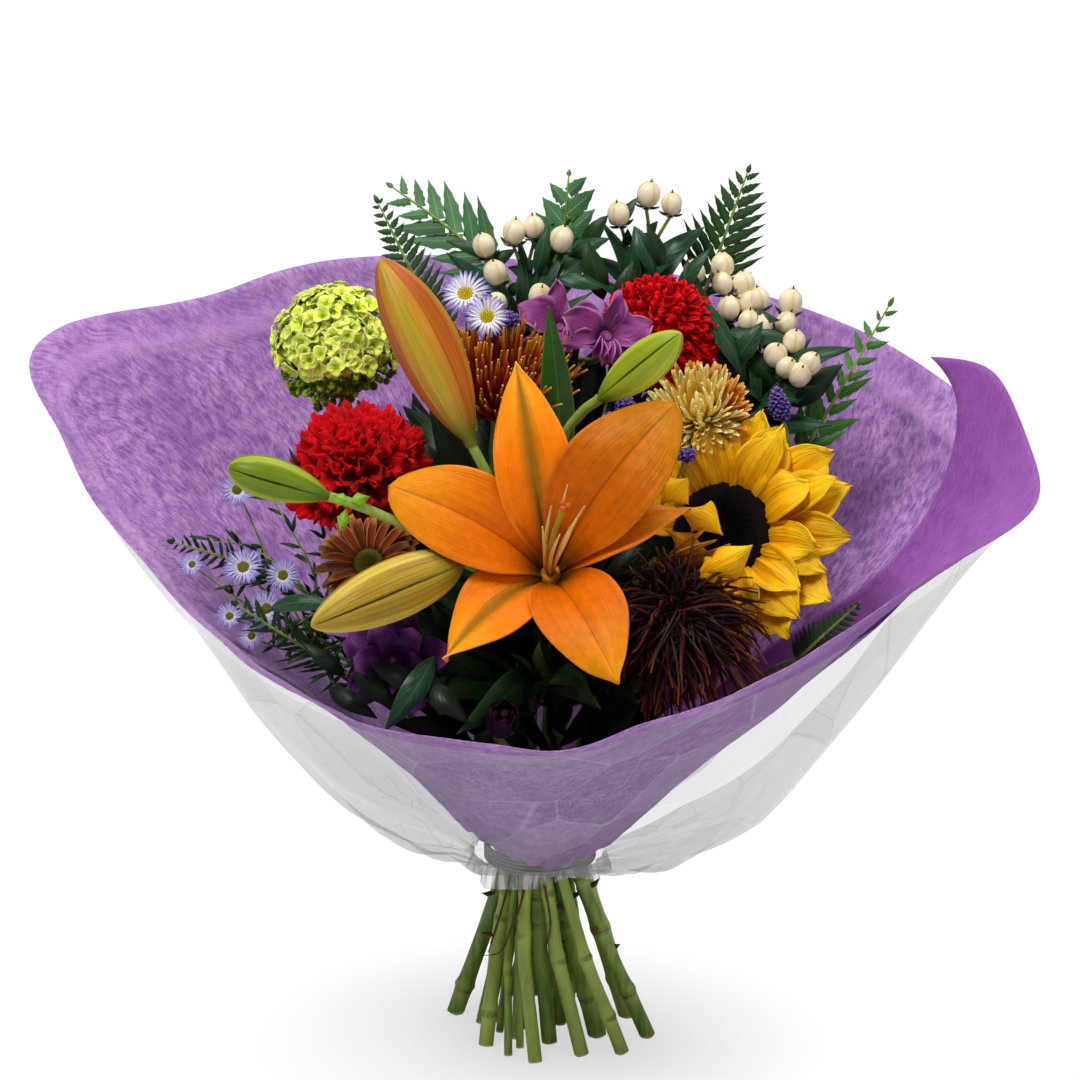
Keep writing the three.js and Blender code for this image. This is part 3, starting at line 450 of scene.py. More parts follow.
# %% Flowers and stems
FLOWERS = {
    "lily": ((5, -90, 262), (-0.05, -0.73, 0.68), 5.2, 3.2),
    "sunflower": ((84, -43, 268), (-0.26, -0.8, 0.54), 5.5, 4.2),
    "carnation": ((-82, -34, 289), (-0.12, -0.5, 0.86), 4.1, 2.8),
    "pompon": ((55, 26, 333), (0, -0.45, 0.89), 4.4, 2.8),
    "hydrangea": ((-92, 14, 320), (-0.12, -0.35, 0.93), 4.8, 3.2),
    "quill_mum": ((-20, -22, 316), (0.06, -0.25, 0.97), 4.3, 2.6),
    "golden_mum": ((74, -12, 313), (-0.15, -0.62, 0.77), 4.2, 2.6),
    "rust_daisy": ((-75, -92, 269), (-0.15, -0.8, 0.58), 4.0, 2.4),
    "dark_mum": ((58, -90, 243), (0.12, -0.74, 0.66), 4.3, 2.6),
    "orchid": ((9, 2, 351), (0.05, -0.75, 0.66), 3.9, 2.2),
    "purple_low": ((-62, -104, 226), (-0.2, -0.8, 0.5), 3.8, 2.2),
    "plum_bud": ((-18, -112, 200), (0.1, -0.8, 0.6), 3.9, 2.2),
    "hypericum_left": ((-8, 34, 352), (0, -0.2, 0.98), 2.8, 1.8),
    "hypericum_mid": ((48, 58, 362), (0.1, 0, 0.99), 2.7, 1.8),
    "hypericum_right": ((104, 36, 318), (0.1, -0.1, 0.98), 2.9, 1.9),
    "aster_top": ((-34, 8, 350), (0, -0.3, 0.95), 2.0, 1.3),
    "aster_left": ((-112, -52, 226), (-0.5, -0.4, 0.77), 2.0, 1.3),
    "statice": ((112, -2, 312), (-0.2, -0.2, 0.96), 1.8, 1.2),
    "fern_left": ((-46, 34, 340), (-0.4, 0.15, 0.9), 1.9, 1.2),
    "fern_back": ((-18, 62, 366), (-0.5, 0.2, 0.84), 1.9, 1.2),
    "fern_centre": ((10, 66, 366), (0.1, 0.15, 0.98), 1.9, 1.2),
    "fern_tall": ((78, 66, 352), (0.25, 0.1, 0.96), 1.9, 1.2),
    "fern_right": ((124, 22, 286), (0.5, 0.3, 0.8), 1.9, 1.2),
    "fern_low_right": ((118, -72, 218), (0.75, -0.45, 0.5), 1.9, 1.2),
    "fern_low_left": ((-90, -80, 214), (-0.75, -0.4, 0.5), 1.9, 1.2),
    "fern_far_left": ((-120, -14, 238), (-0.8, 0.1, 0.6), 1.9, 1.2),
}
SECOND_ORCHID = ((29, -16, 353), (0.25, -0.85, 0.45))  # it grows from the first one's stem
WAIST = 95  # height of the tie
SLICE = 12  # a stem's middle is found at slices this far apart


def stem_node(name):
    return name + "_stem" if name + "_stem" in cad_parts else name


def stem_line(name):
    """The middle of a stem, found by slicing its solid from the foot up, then its neck and its end."""
    at, axis, foot, _ = FLOWERS[name]
    at, axis = Vector(at), Vector(axis).normalized()
    throat = at - axis * min(22, (at.z - WAIST) * 0.14)
    bm = bmesh.new()
    bm.from_mesh(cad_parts[stem_node(name)].data)
    bmesh.ops.transform(bm, matrix=Matrix.Scale(1000, 4) @ Matrix.Translation(-HOME), verts=bm.verts)
    low = min(bm.verts, key=lambda v: v.co.z).co
    line = []
    near = low.copy()
    for k in range(int((throat.z - 8) / SLICE) + 1):
        height = max(k * SLICE, 0.4)
        everything = bm.verts[:] + bm.edges[:] + bm.faces[:]
        cut = bmesh.ops.bisect_plane(bm, geom=everything, plane_co=(0, 0, height), plane_no=(0, 0, 1))
        ring = [v.co for v in cut["geom_cut"] if isinstance(v, bmesh.types.BMVert)]
        ring = [p for p in ring if (p.xy - near.xy).length < 3 * foot + 2]
        if ring:
            middle = [(min(p[i] for p in ring) + max(p[i] for p in ring)) / 2 for i in (0, 1)]
            near = Vector((*middle, height))
            line.append(near.copy())
        if len(line) > 1:
            near = near + (line[-1] - line[-2])
    bm.free()
    line[0].z = 0
    return line + [throat, at - axis * 0.3]


STEM_LINES = {name: stem_line(name) for name in FLOWERS}
print("stems traced", len(STEM_LINES), "points", sum(len(line) for line in STEM_LINES.values()))

# %% [markdown]
# ## Skins
# A petal's colour runs from its root to its tip, changes towards its rim and along its middle, and is
# drawn over with fine veins. One node group does this for every flower, with its own colours and shares.
# It reads the map of each petal, so that the veins follow the petal wherever it bends.

# %% Petal skin
WHITE = ink("FFFFFF")
nodes, given, out = group(
    "petal skin",
    {
        "Root": WHITE, "Body": WHITE, "Tip": WHITE, "Rim": WHITE, "Midrib": WHITE,
        "Root End": 0.2, "Tip Start": 0.75, "Rim Width": 0.12, "Rim Share": 0.0,
        "Midrib Width": 0.12, "Midrib Share": 0.0, "Veins": 24.0, "Vein Share": 0.2, "Tone Share": 0.25,
    },
)
across, along, tone = nodes.petal_axes()
edge = nodes.edge(across)
colour = nodes.mix(nodes.span(along, given["Tip Start"], 1.0), given["Body"], given["Tip"])
rim = nodes.span(edge, nodes.minus(1.0, given["Rim Width"]), 1.0)
colour = nodes.mix(nodes.times(rim, given["Rim Share"]), colour, given["Rim"])
middle = nodes.span(edge, 0.0, given["Midrib Width"], 1.0, 0.0)
colour = nodes.mix(nodes.times(middle, given["Midrib Share"]), colour, given["Midrib"])
colour = nodes.mix(nodes.span(along, 0.0, given["Root End"], 1.0, 0.0), colour, given["Root"])
lanes = nodes.point(nodes.times(across, given["Veins"]), nodes.times(along, 2.5), nodes.times(tone, 37.0))
vein = nodes.span(nodes.noise(lanes, 1.0, 1.0), 0.42, 0.68)
cells = nodes.noise(nodes.place(), 260.0, 3.0)
shade = nodes.minus(1.0, nodes.times(vein, given["Vein Share"]))
# a petal's tone makes it lighter or darker; on the lily's tepals this paints their light and shade
own = nodes.times(nodes.minus(tone, 0.5), given["Tone Share"])
shade = nodes.plus(shade, nodes.plus(own, nodes.span(cells, 0.3, 0.7, -0.07, 0.07)))
nodes.tree.links.new(nodes.mix(1.0, colour, shade, "MULTIPLY"), out["Colour"])
nodes.tree.links.new(nodes.plus(vein, nodes.times(cells, 0.4)), out["Height"])

# %% [markdown]
# A leaf has one strong vein down its middle and side veins that leave it at a slant. They lie a little
# lower than the blade between them.

# %% Leaf skin
nodes, given, out = group(
    "leaf skin",
    {"Body": WHITE, "Vein": WHITE, "Rim": WHITE, "Side Veins": 9.0, "Slant": 0.35, "Vein Share": 0.4},
)
across, along, tone = nodes.petal_axes()
edge = nodes.edge(across)
slanted = nodes.minus(along, nodes.times(edge, given["Slant"]))
phase = nodes.math("FRACT", nodes.plus(nodes.times(slanted, given["Side Veins"]), 20.0))
side_vein = nodes.span(nodes.math("ABSOLUTE", nodes.minus(phase, 0.5)), 0.36, 0.5)
middle = nodes.span(edge, 0.02, 0.1, 1.0, 0.0)
veins = nodes.math("MAXIMUM", middle, nodes.times(side_vein, 0.5))
blotch = nodes.noise(nodes.place(), 90.0, 3.0)
colour = nodes.mix(nodes.times(veins, given["Vein Share"]), given["Body"], given["Vein"])
colour = nodes.mix(nodes.span(edge, 0.88, 1.0, 0.0, 0.5), colour, given["Rim"])
shade = nodes.plus(nodes.span(blotch, 0.3, 0.7, 0.82, 1.12), nodes.times(tone, 0.2))
nodes.tree.links.new(nodes.mix(1.0, colour, shade, "MULTIPLY"), out["Colour"])
height = nodes.minus(nodes.times(blotch, 0.5), veins)
nodes.tree.links.new(height, out["Height"])

# %% [markdown]
# Cut stems are streaked along their length, browned where a leaf was stripped, spotted here and there,
# and pale across the fresh cut.

# %% Stem skin
nodes, given, out = group(
    "stem skin",
    {"Body": WHITE, "Streak": WHITE, "Young": WHITE, "Scar": WHITE, "Cut": WHITE},
)
tone = nodes.add("ShaderNodeAttribute", attribute_name="tone").outputs["Fac"]
streaks = nodes.noise(nodes.stretch(nodes.place(), (1.0, 1.0, 0.07)), 420.0, 2.0)
colour = nodes.mix(nodes.span(streaks, 0.35, 0.7), given["Body"], given["Streak"])
patches = nodes.noise(nodes.place(), 34.0, 2.0)
colour = nodes.mix(nodes.span(patches, 0.4, 0.7, 0.0, 0.45), colour, given["Streak"])
spots = nodes.span(nodes.noise(nodes.stretch(nodes.place(), (1.0, 1.0, 0.5)), 75.0, 1.0), 0.71, 0.77)
colour = nodes.mix(nodes.times(spots, 0.6), colour, given["Scar"])
colour = nodes.mix(nodes.span(tone, 0.1, 0.42, 0.8, 0.0), colour, given["Young"])
colour = nodes.mix(nodes.span(tone, 0.6, 0.85), colour, given["Scar"])
height_above = nodes.add("ShaderNodeSeparateXYZ", {0: nodes.place()}).outputs[2]
colour = nodes.mix(nodes.span(height_above, 0.0006, 0.0016, 1.0, 0.0), colour, given["Cut"])
nodes.tree.links.new(colour, out["Colour"])
nodes.tree.links.new(nodes.plus(streaks, spots), out["Height"])

# %% [markdown]
# Buds and berries are firm and waxy. The tone written in their points is lowest in the seams, a little
# higher on the strips beside them, and highest on the ribs, so the paint follows the form. The darker
# colours in the seams paint the shade in their grooves.

# %% Bud skin
nodes, given, out = group(
    "bud skin",
    {"Seam": WHITE, "Strip": WHITE, "Body": WHITE, "Rib": WHITE, "Base": WHITE, "Tip": WHITE, "Base End": 0.2,
     "Tip Start": 0.85, "Mottle": 0.12, "Veins": 0.0},
)
across, along, tone = nodes.petal_axes()
# painted shade: the seam colour darkens the grooves between the tepals
colour = nodes.mix(nodes.span(tone, 0.0, 0.2), given["Seam"], given["Strip"])
colour = nodes.mix(nodes.span(tone, 0.3, 0.5), colour, given["Body"])
colour = nodes.mix(nodes.span(tone, 0.6, 1.0), colour, given["Rib"])
lanes = nodes.point(nodes.times(across, 60.0), nodes.times(along, 3.0))
vein = nodes.span(nodes.noise(lanes, 1.0, 2.0), 0.4, 0.7, 0.0, given["Veins"])
colour = nodes.mix(nodes.span(along, 0.0, given["Base End"], 1.0, 0.0), colour, given["Base"])
colour = nodes.mix(nodes.span(along, given["Tip Start"], 1.0), colour, given["Tip"])
fine = nodes.noise(nodes.place(), 520.0, 3.0)
broad = nodes.noise(nodes.place(), 70.0, 2.0)
both = nodes.plus(fine, broad)
shade = nodes.plus(1.0, nodes.times(nodes.minus(both, 1.0), given["Mottle"]))
nodes.tree.links.new(nodes.mix(1.0, colour, nodes.minus(shade, vein), "MULTIPLY"), out["Colour"])
nodes.tree.links.new(nodes.plus(fine, nodes.times(vein, 6.0)), out["Height"])
print("skins", [tree.name for tree in bpy.data.node_groups])


# %% [markdown]
# A finish is one of these skins with its own colours, as web codes, and its own shares. Petals are given by
# body, tip and root, buds by seam, strip, body, rib, base and tip, and leaves by body, vein and rim.

# %% Finishes of the flowers
def skin_values(**given):
    """What a skin takes: colours, given as web codes, and shares."""
    return {socket_name(key): ink(value) if isinstance(value, str) else value for key, value in given.items()}


def petals_of(name, body, tip, root, roughness=0.5, bump=0.25, sheen=0.0, shine=0.2, **more):
    values = skin_values(**{"body": body, "tip": tip, "root": root, "rim": tip, "midrib": root, **more})
    return finish(name, "petal skin", values, bump, roughness=roughness, sheen_weight=sheen,
                  specular_ior_level=shine)


# The dark olive root is the green throat with painted shade deep in it. The strong tone share lets each
# tepal's tone paint its light and shade.
LILY = petals_of(
    "lily tepal", "E87004", "F89A14", "2E380A", 0.4, 0.35, rim="FCAE4C", rim_share=0.3, rim_width=0.06,
    midrib="8E4A0C", midrib_share=0.5, midrib_width=0.06, root_end=0.34, veins=46.0, vein_share=0.09,
    tip_start=0.5, tone_share=0.8, shine=0.1,
)
LILY_STAINED = petals_of(
    "stained lily tepal", "E87406", "F49A18", "2E380A", 0.4, 0.35,
    rim="FCAE4C", rim_share=0.3, rim_width=0.06,
    midrib="6E5A10", midrib_share=0.8, midrib_width=0.4, root_end=0.34, veins=46.0, vein_share=0.09,
    tip_start=0.55, tone_share=0.8, shine=0.1,
)
FILAMENT = petals_of("lily filament", "E0A848", "F0CE84", "7E8420", root_end=0.3, tip_start=0.3)
STYLE = petals_of("lily style", "A8902C", "D46A1A", "6F7A1A", tip_start=0.86)
SUN_RAY = petals_of(
    "sunflower ray", "FFB800", "FFCE0C", "D07A02", 0.5, 0.7, veins=22.0, vein_share=0.12, root_end=0.4,
    tone_share=0.35, midrib="E89404", midrib_share=0.3, midrib_width=0.25, tip_start=0.5,
)
# The carnation's near-black root paints the shade deep between its petals, and its pale rim paints the
# highlights on the frilled edges.
CARNATION = petals_of(
    "carnation petal", "BE020C", "D60614", "320108", 0.8, 0.4, 0.05, 0.1, root_end=0.62, veins=34.0,
    vein_share=0.22, rim="F04A50", rim_share=0.2, rim_width=0.05, tip_start=0.8, tone_share=0.5,
)
# The pompon's near-black root paints the shade deep between its petals.
POMPON = petals_of(
    "pompon petal", "D2020C", "F00C18", "300104", 0.6, 0.25, 0.0, 0.12, root_end=0.72, tip_start=0.7,
    tone_share=0.5,
)
LIME = petals_of(
    "hydrangea sepal", "DAF030", "F8FA8A", "7C9E1A", 0.6, rim="F6F8A0", rim_share=0.6, rim_width=0.5,
    root_end=0.5, tip_start=0.45, veins=7.0, vein_share=0.14, tone_share=0.6,
)
LIME_DARK = petals_of("hydrangea bud", "82A020", "B8D04A", "34520E", 0.6, root_end=0.5, tone_share=0.6)
BRONZE_QUILL = petals_of(
    "bronze quill", "A8340E", "F4BC34", "420806", 0.42, 0.25, root_end=0.45, tip_start=0.72, tone_share=0.7,
)
# The amber root paints the shade between the golden petals.
GOLD = petals_of(
    "golden chrysanthemum petal", "FFD84C", "FFF0A4", "D8841A", 0.5, root_end=0.35, tip_start=0.35,
    veins=7.0, vein_share=0.25, tone_share=0.3,
)
BRONZE = petals_of(
    "bronze chrysanthemum petal", "D88628", "F8BC54", "6A280A", 0.5, root_end=0.5, veins=7.0,
    vein_share=0.3, tone_share=0.5,
)
RUST = petals_of(
    "rust daisy ray", "7E3412", "BC7A34", "3E120A", 0.55, veins=7.0, vein_share=0.4, root_end=0.35,
    tone_share=0.7, rim="D09048", rim_share=0.5, rim_width=0.3,
)
DARK = petals_of(
    "dark chrysanthemum quill", "220705", "94501C", "0A0202", 0.45, root_end=0.4, tip_start=0.7,
    tone_share=1.0,
)
DARK_RED = petals_of("burgundy chrysanthemum quill", "4A0C0C", "B0602A", "140404", 0.45, tip_start=0.65,
                     tone_share=1.0)
ORCHID = petals_of(
    "orchid petal", "8A367C", "B4689C", "3C0C34", 0.5, rim="CC92C4", rim_share=0.6, rim_width=0.2,
    veins=18.0, vein_share=0.3, root_end=0.35,
)
# The low purple bloom's petals, darkened to paint the shade it lies in under the lower bud.
PURPLE_IN_PAINTED_SHADE = petals_of("purple petal in painted shade", "4A1458", "8A3E92", "14041C", 0.5, veins=16.0, vein_share=0.3)
PLUM = petals_of("plum petal", "2A0A1E", "4E1E3C", "0E040A", 0.32, veins=9.0, vein_share=0.55)
ASTER = petals_of("aster ray", "C0B8EA", "9080CC", "ECE8FA", 0.6, root_end=0.5, tip_start=0.55, veins=4.0)
ASTER_PALE = petals_of("pale aster ray", "E8E2FA", "7A5CC0", "FFFFFF", 0.6, root_end=0.6, tip_start=0.5)
STATICE = petals_of("statice floret", "6848A4", "9C84CC", "301A58", 0.8)


def buds_of(name, seam, strip, body, rib, base, tip, roughness=0.4, bump=0.15, **more):
    values = skin_values(seam=seam, strip=strip, body=body, rib=rib, base=base, tip=tip, **more)
    return finish(name, "bud skin", values, bump, roughness=roughness, specular_ior_level=0.3)


# The first colour of each lily bud, its seam, paints the shade in the grooves between its tepals.
BUD_LARGE = buds_of("opening bud", "5A2206", "C06214", "C88A1E", "BE9E24", "66701A", "B0AA30", 0.42, 0.3,
                    tip_start=0.86, veins=0.22)
BUD_LOWER = buds_of("olive bud", "3E3404", "8E7A1C", "B4901E", "DCC04A", "8A8420", "B0B048", 0.42, 0.3,
                    veins=0.3)
BUD_GREEN = buds_of("green bud", "2E4406", "6E8410", "96A81A", "BCC834", "5E8412", "DCE4A0", 0.42,
                    tip_start=0.93, veins=0.12)
BUD_SHADED = buds_of("shaded green bud", "1E3004", "4E660C", "748A12", "A4B42A", "466A0E", "C8D488", 0.42,
                     tip_start=0.93, veins=0.16)
BERRY = buds_of("cream berry", "BE9C66", "ECD6A4", "F6E8C4", "FBF2DA", "C8C480", "E4CC98", 0.28, mottle=0.1)
BERRY_TIP = buds_of("berry tip", "241408", "3E2814", "4A3018", "4A3018", "3E2814", "1A0E06", 0.6)
SEED_DISC = buds_of("seed disc", "050201", "0C0402", "140803", "3A1A08", "050201", "2A1208", 1.0)
OLIVE_DISC = buds_of("olive disc", "3E3A0A", "6E6814", "86801C", "AEA42E", "4E4A10", "B4A830", 0.85)
YELLOW_DISC = buds_of("yellow disc", "9A840C", "C8B418", "DCC81E", "F4E65A", "A8900C", "F0DC40", 0.8)
DRY = buds_of("dry tendril", "2A1A0C", "5A4020", "6E5028", "8E6A3A", "4E3A1C", "3A2A16", 0.8)


def leaves_of(name, body, vein, rim, roughness=0.42, **more):
    values = skin_values(body=body, vein=vein, rim=rim, **more)
    return finish(name, "leaf skin", values, 0.35, roughness=roughness, specular_ior_level=0.32)


LILY_LEAF = leaves_of("lily leaf", "2A5A14", "5E8A34", "7EA450", side_veins=2.0, slant=3.0)
DARK_LEAF = leaves_of("dark leaf", "16330F", "34582A", "2A4A20")
# A near-black copy of the dark leaf: it paints the shade deep in the bunch.
PAINTED_SHADE_LEAF = leaves_of("leaf in painted shade", "0B1C0A", "1E3618", "142810")
SPRAY_LEAF = leaves_of("berry spray leaf", "1E4228", "4E7A56", "3E6A4A", 0.36, side_veins=6.0)
FERN = leaves_of("leather fern", "1F4416", "44702E", "33602A", 0.45, side_veins=5.0)
FERN_PALE = leaves_of("pale fern", "3E7040", "86AE80", "6E9A68", 0.5, side_veins=8.0, vein_share=0.6)
FERN_LIGHT = leaves_of("light fern", "33661E", "6E9A48", "5A8C38", 0.45, side_veins=5.0)
STEM = finish(
    "cut stem", "stem skin",
    skin_values(body="8EA83E", streak="5A8026", young="B4C85A", scar="7E5428", cut="C8CE98"),
    0.3, roughness=0.42,
)
print("finishes", len(bpy.data.materials))

# %% [markdown]
# ## Stems
# Every stem is a tube along the line that its solid gives. Below the tie it swells into a node wherever
# a leaf was stripped, with a thin lip and a brown scar round it, and its foot is cut level with the floor.
# The rows of the tube stand close together at the nodes and far apart between them.

# %% Stems below and above the tie
def seat(name):
    """Where a flower stands and the way it faces."""
    return FLOWERS[name][:2]


THICK_NODES = [(12, 34), (46, 62), (72, 88)]  # the heights between which the nodes of a thick stem lie
THIN_NODES = [(30, 70)]
STEM_STEPS = 340
SLIMMER = 0.88  # thick stems are slimmer than their solids, so light shows between the cut ends


def stem_tube(bm, name, seed):
    """A stem from its cut foot to its neck, with its nodes."""
    foot, neck = FLOWERS[name][2:]
    thick = foot > 3
    draw = random.Random(seed)
    nodes_at = [draw.uniform(*between) for between in (THICK_NODES if thick else THIN_NODES)]
    if thick and draw.random() < 0.5:
        nodes_at.pop(draw.randrange(3))
    fine = smooth(STEM_LINES[name], STEM_STEPS)
    line = [p for k, p in enumerate(fine) if k % 6 == 0 or k == STEM_STEPS
            or (k % 2 == 0 and any(abs(p.z - ring) < 7 for ring in nodes_at))]
    line[0].z = 0
    last = len(line) - 1
    slim = SLIMMER if thick else 1.0
    radius = [slim * (foot + (neck - foot) * k / last) for k in range(last + 1)]
    own = draw.uniform(0.22, 0.5)

    def node_near(v, spread):
        height = line[min(round(v * last), last)].z
        return max(math.exp(-(((height - ring) / spread) ** 2)) for ring in nodes_at)

    def ripple(angle, v):
        swell = 0.1 * node_near(v, 5) + (0.13 + 0.05 * math.cos(angle * 2 + seed)) * node_near(v, 1.3)
        ridges = 0.03 * math.cos(angle * 5 + seed) + 0.03 * noise.noise(Vector((angle, v * 20, seed)))
        return 1 + swell + ridges

    def tone(u, v):
        scar = node_near(v, 1.2) * (0.55 + 0.45 * math.sin(u * 6.28 + seed * 2))
        return own - 0.2 * node_near(v, 6) + 0.8 * scar

    tube(bm, line, radius, 14 if thick else 8, tone, ripple)


def turn_towards(axis, way):
    """The angle round a flower that faces along axis, in its own frame, that looks along a way."""
    local = facing((0, 0, 0), axis).inverted() @ Vector(way)
    return math.atan2(local.y, local.x)


PLAIN_STEMS = ["pompon", "hydrangea", "quill_mum", "golden_mum", "rust_daisy", "dark_mum", "purple_low",
               "plum_bud", "carnation", "sunflower", "orchid"]
for seed, name in enumerate(PLAIN_STEMS):
    bm = new_form()
    stem_tube(bm, name, seed)
    if name == "sunflower":
        back = tube(bm, upright(-16, -12, -8, -6, -4.4), [4.2, 8, 14, 15, 14], 24, skin=1)
        for i in range(21):
            back += petal(bm, i * GOLDEN, (9, -10 + i % 3), 34, [26, 14, 2], [3.4, 5, 4.5, 2.4, 0], 8, skin=1)
        put(bm, back, *seat(name))
    if name == "carnation":
        cup = tube(bm, upright(-18, -15, -11, -6, -0.4), [2.8, 4.6, 6, 6.2, 6.6], 15, skin=1)
        put(bm, cup, *seat(name))
    if name == "orchid":
        side_end = Vector(SECOND_ORCHID[0]) - Vector(SECOND_ORCHID[1]).normalized() * 0.3
        tube(bm, smooth([STEM_LINES[name][-2], (25, 0, 338), side_end], 16), [1.8, 1.6, 1.5], 8)
    settle(bm, name + "_cut_stem", [STEM, LILY_LEAF], "green_stem", stem_node(name))

# %% [markdown]
# ## Lily
# Six tepals bend out of one throat: three broad ones inside and three narrower ones behind them. Each
# has a groove down its middle and a margin that waves a little. They are blades that follow an arc. Two
# of them end in a blunt fold, and the rest in a point.

# %% Lily bloom
# Each tepal's tone paints its light and shade: the top tepal lightest, the right-hand inner one darkest.
TEPALS = [  # the last three are the inner ones
    {"turn": 98, "half": 17.5, "length": 101, "rise": [64, 54, 36, 18, 6], "stain": True, "tone": 0.8},
    {"turn": 226, "half": 17.5, "length": 79, "rise": [60, 48, 26, 4, -14], "stain": True, "twist": 0.3,
     "tone": 0.75},
    {"turn": 21, "half": 14, "length": 77, "rise": [58, 46, 22, -8, -34], "twist": -0.6, "tone": 0.55},
    {"turn": 158, "half": 21.5, "length": 90, "rise": [66, 54, 34, 16, 4], "blunt": True, "tone": 0.46},
    {"turn": 294, "half": 20.5, "length": 83, "rise": [62, 48, 24, 4, -12], "twist": -0.15, "tone": 0.42},
    {"turn": 45, "half": 23, "length": 101, "rise": [66, 54, 34, 16, 4], "blunt": True, "twist": 0.12,
     "tone": 0.16},
]
POINTED = [0.15, 0.38, 0.7, 0.94, 1.0, 0.93, 0.72, 0.42, 0.0]
BLUNT = [0.13, 0.32, 0.62, 0.9, 1.0, 1.0, 0.92, 0.78, 0.62]
bm = new_form()
for i, tepal in enumerate(TEPALS):
    inner = i > 2

    def lift(c, v, i=i, inner=inner):
        groove = -1.3 * math.exp(-((c / 0.09) ** 2)) * math.sin(math.pi * min(v * 1.1, 1)) ** 0.5
        lobes = 1.1 * math.exp(-(((abs(c) - 0.45) / 0.3) ** 2)) * math.sin(math.pi * v)
        wave = 2.4 * c * abs(c) * math.sin(6 * v + i * 2.3) * v + 1.0 * c * c * math.sin(15 * v + i) * v
        ribs = 0.12 * math.cos(c * 34) * math.sin(math.pi * v)
        return groove + lobes + wave + ribs + (0.5 if inner else -0.9) * v

    def width(v, tepal=tepal):
        blunt = tepal.get("blunt")
        shape = bow(BLUNT, v) * math.sqrt(max(1 - v**9, 0)) if blunt else bow(POINTED, v)
        return tepal["half"] * shape

    petal(
        bm, math.radians(tepal["turn"]), (2.8, 1), tepal["length"], tepal["rise"], width, 40,
        curl=[1.3, 1.0, 0.75, 0.5, 0.3, 0.1, -0.15, -0.35, -0.5], across=24, lift=lift,
        sway=2.5 * math.sin(i * 2.4), twist=tepal.get("twist", 0.0), tone=tepal["tone"],
        skin=1 if tepal.get("stain") else 0,
    )
tube(bm, upright(0.4, 1.5, 3, 5, 7), [3, 4.8, 5.6, 5.2, 3.6], 24, skin=1)
settle(bm, "lily_tepals", [LILY, LILY_STAINED], "lily_orange", "lily_bloom", *seat("lily"), thick=0.7)

# %% [markdown]
# Six thin filaments and a thicker style stand in the throat and lean the same way. The style ends in a
# stigma with three lobes.

# %% Lily filaments and style
bm = new_form()
LEAN = Vector((8, 8.5, 0))  # they all bend up and to one side of the throat
for i in range(6):
    turn = math.radians(60 * i + 20)
    spread = 9.5 + 2.5 * math.sin(i * 2.2)
    reach = 1 + 0.1 * math.sin(i * 1.7)
    line = [polar(r, turn, h * reach) + LEAN * share for r, h, share in
            ((1.2, 6, 0), (2.6, 18, 0.08), (5, 32, 0.4), (spread, 49, 1))]
    tube(bm, smooth(line, 18), [0.7, 1.0, 0.95, 0.8, 0.3], 8, tone=0.3 + 0.1 * i)
STYLE_LINE = smooth([(0, 0, 5), (0.3, 0.6, 20), (3, 4, 38), (8.5, 9, 55)], 18)
tube(bm, STYLE_LINE, [2.2, 1.7, 1.35, 1.3, 1.5], 10, skin=1)
for i in range(3):
    lobe = bmesh.ops.create_icosphere(bm, subdivisions=2, radius=1.5)["verts"]
    turn = i * 2.094
    bmesh.ops.transform(bm, verts=lobe, matrix=Matrix.Translation(
        (8.5 + 1.5 * math.cos(turn), 9 + 1.5 * math.sin(turn), 55.6)))
    for vert in lobe:
        for face in vert.link_faces:
            face.material_index = 2
STIGMA = petals_of("lily stigma", "D8641A", "D8641A", "D8641A", 0.5)
settle(bm, "lily_filaments", [FILAMENT, STYLE, STIGMA], "stamen", "lily_stamens", *seat("lily"))

# %% [markdown]
# A lily bud is three outer tepals pressed together. Each has a double rib down its middle, and where a
# bud starts to open, a strip of the inner tepal shows in the seam. The points carry a tone that is lowest
# in the seams and highest on the ribs. A bud is blunt at its tip and drawn out to its stalk.

# %% Lily buds
BUDS = {
    "large": {"base": (-30, -84, 322), "tip": (-70, -66, 402), "radius": 14.6, "skin": BUD_LARGE,
              "turn": -0.2,
              "open": 0.34, "profile": (0.8, 0.68)},
    "right": {"base": (25, -72, 339), "tip": (61, -92, 375), "radius": 9.6, "skin": BUD_GREEN, "turn": 0.9,
              "profile": (0.8, 0.62)},
    "left": {"base": (-90, -116, 308), "tip": (-134, -120, 323), "radius": 9.2, "skin": BUD_SHADED,
              "turn": 0.85,
             "profile": (0.76, 0.5)},
    "lower": {"base": (-34, -110, 277), "tip": (-98, -147, 260), "radius": 13.2, "skin": BUD_LOWER,
              "turn": 0.9,
              "profile": (0.5, 0.62)},
}
THIRD = 2 * math.pi / 3
TO_CAMERA = (0, -math.cos(VIEW_RISE), math.sin(VIEW_RISE))


def hump(value, middle, spread):
    return math.exp(-(((value - middle) / spread) ** 2))


def bud_section(angle, strip):
    """The radius and the tone round a bud, an angle away from one of its ribs."""
    aside = abs((angle + THIRD / 2) % THIRD - THIRD / 2)
    edge = THIRD / 2 - strip
    inside = 1 / (1 + math.exp((edge - aside) / 0.02)) if strip else 0.0
    seam = hump(aside, edge, 0.05)
    rib = hump(aside, 0.13, 0.06)
    radius = 1 + 0.04 * math.cos(3 * angle) + 0.028 * rib - 0.02 * hump(aside, 0, 0.06)
    radius += -0.075 * inside - (0.05 if strip else 0.11) * seam - 0.03 * hump(aside, 0.5, 0.12)
    tone = 0.5 + 0.5 * hump(aside, 0.1, 0.2) - 0.25 * inside - (0.3 if strip else 0.5) * seam
    return radius, max(tone, 0)


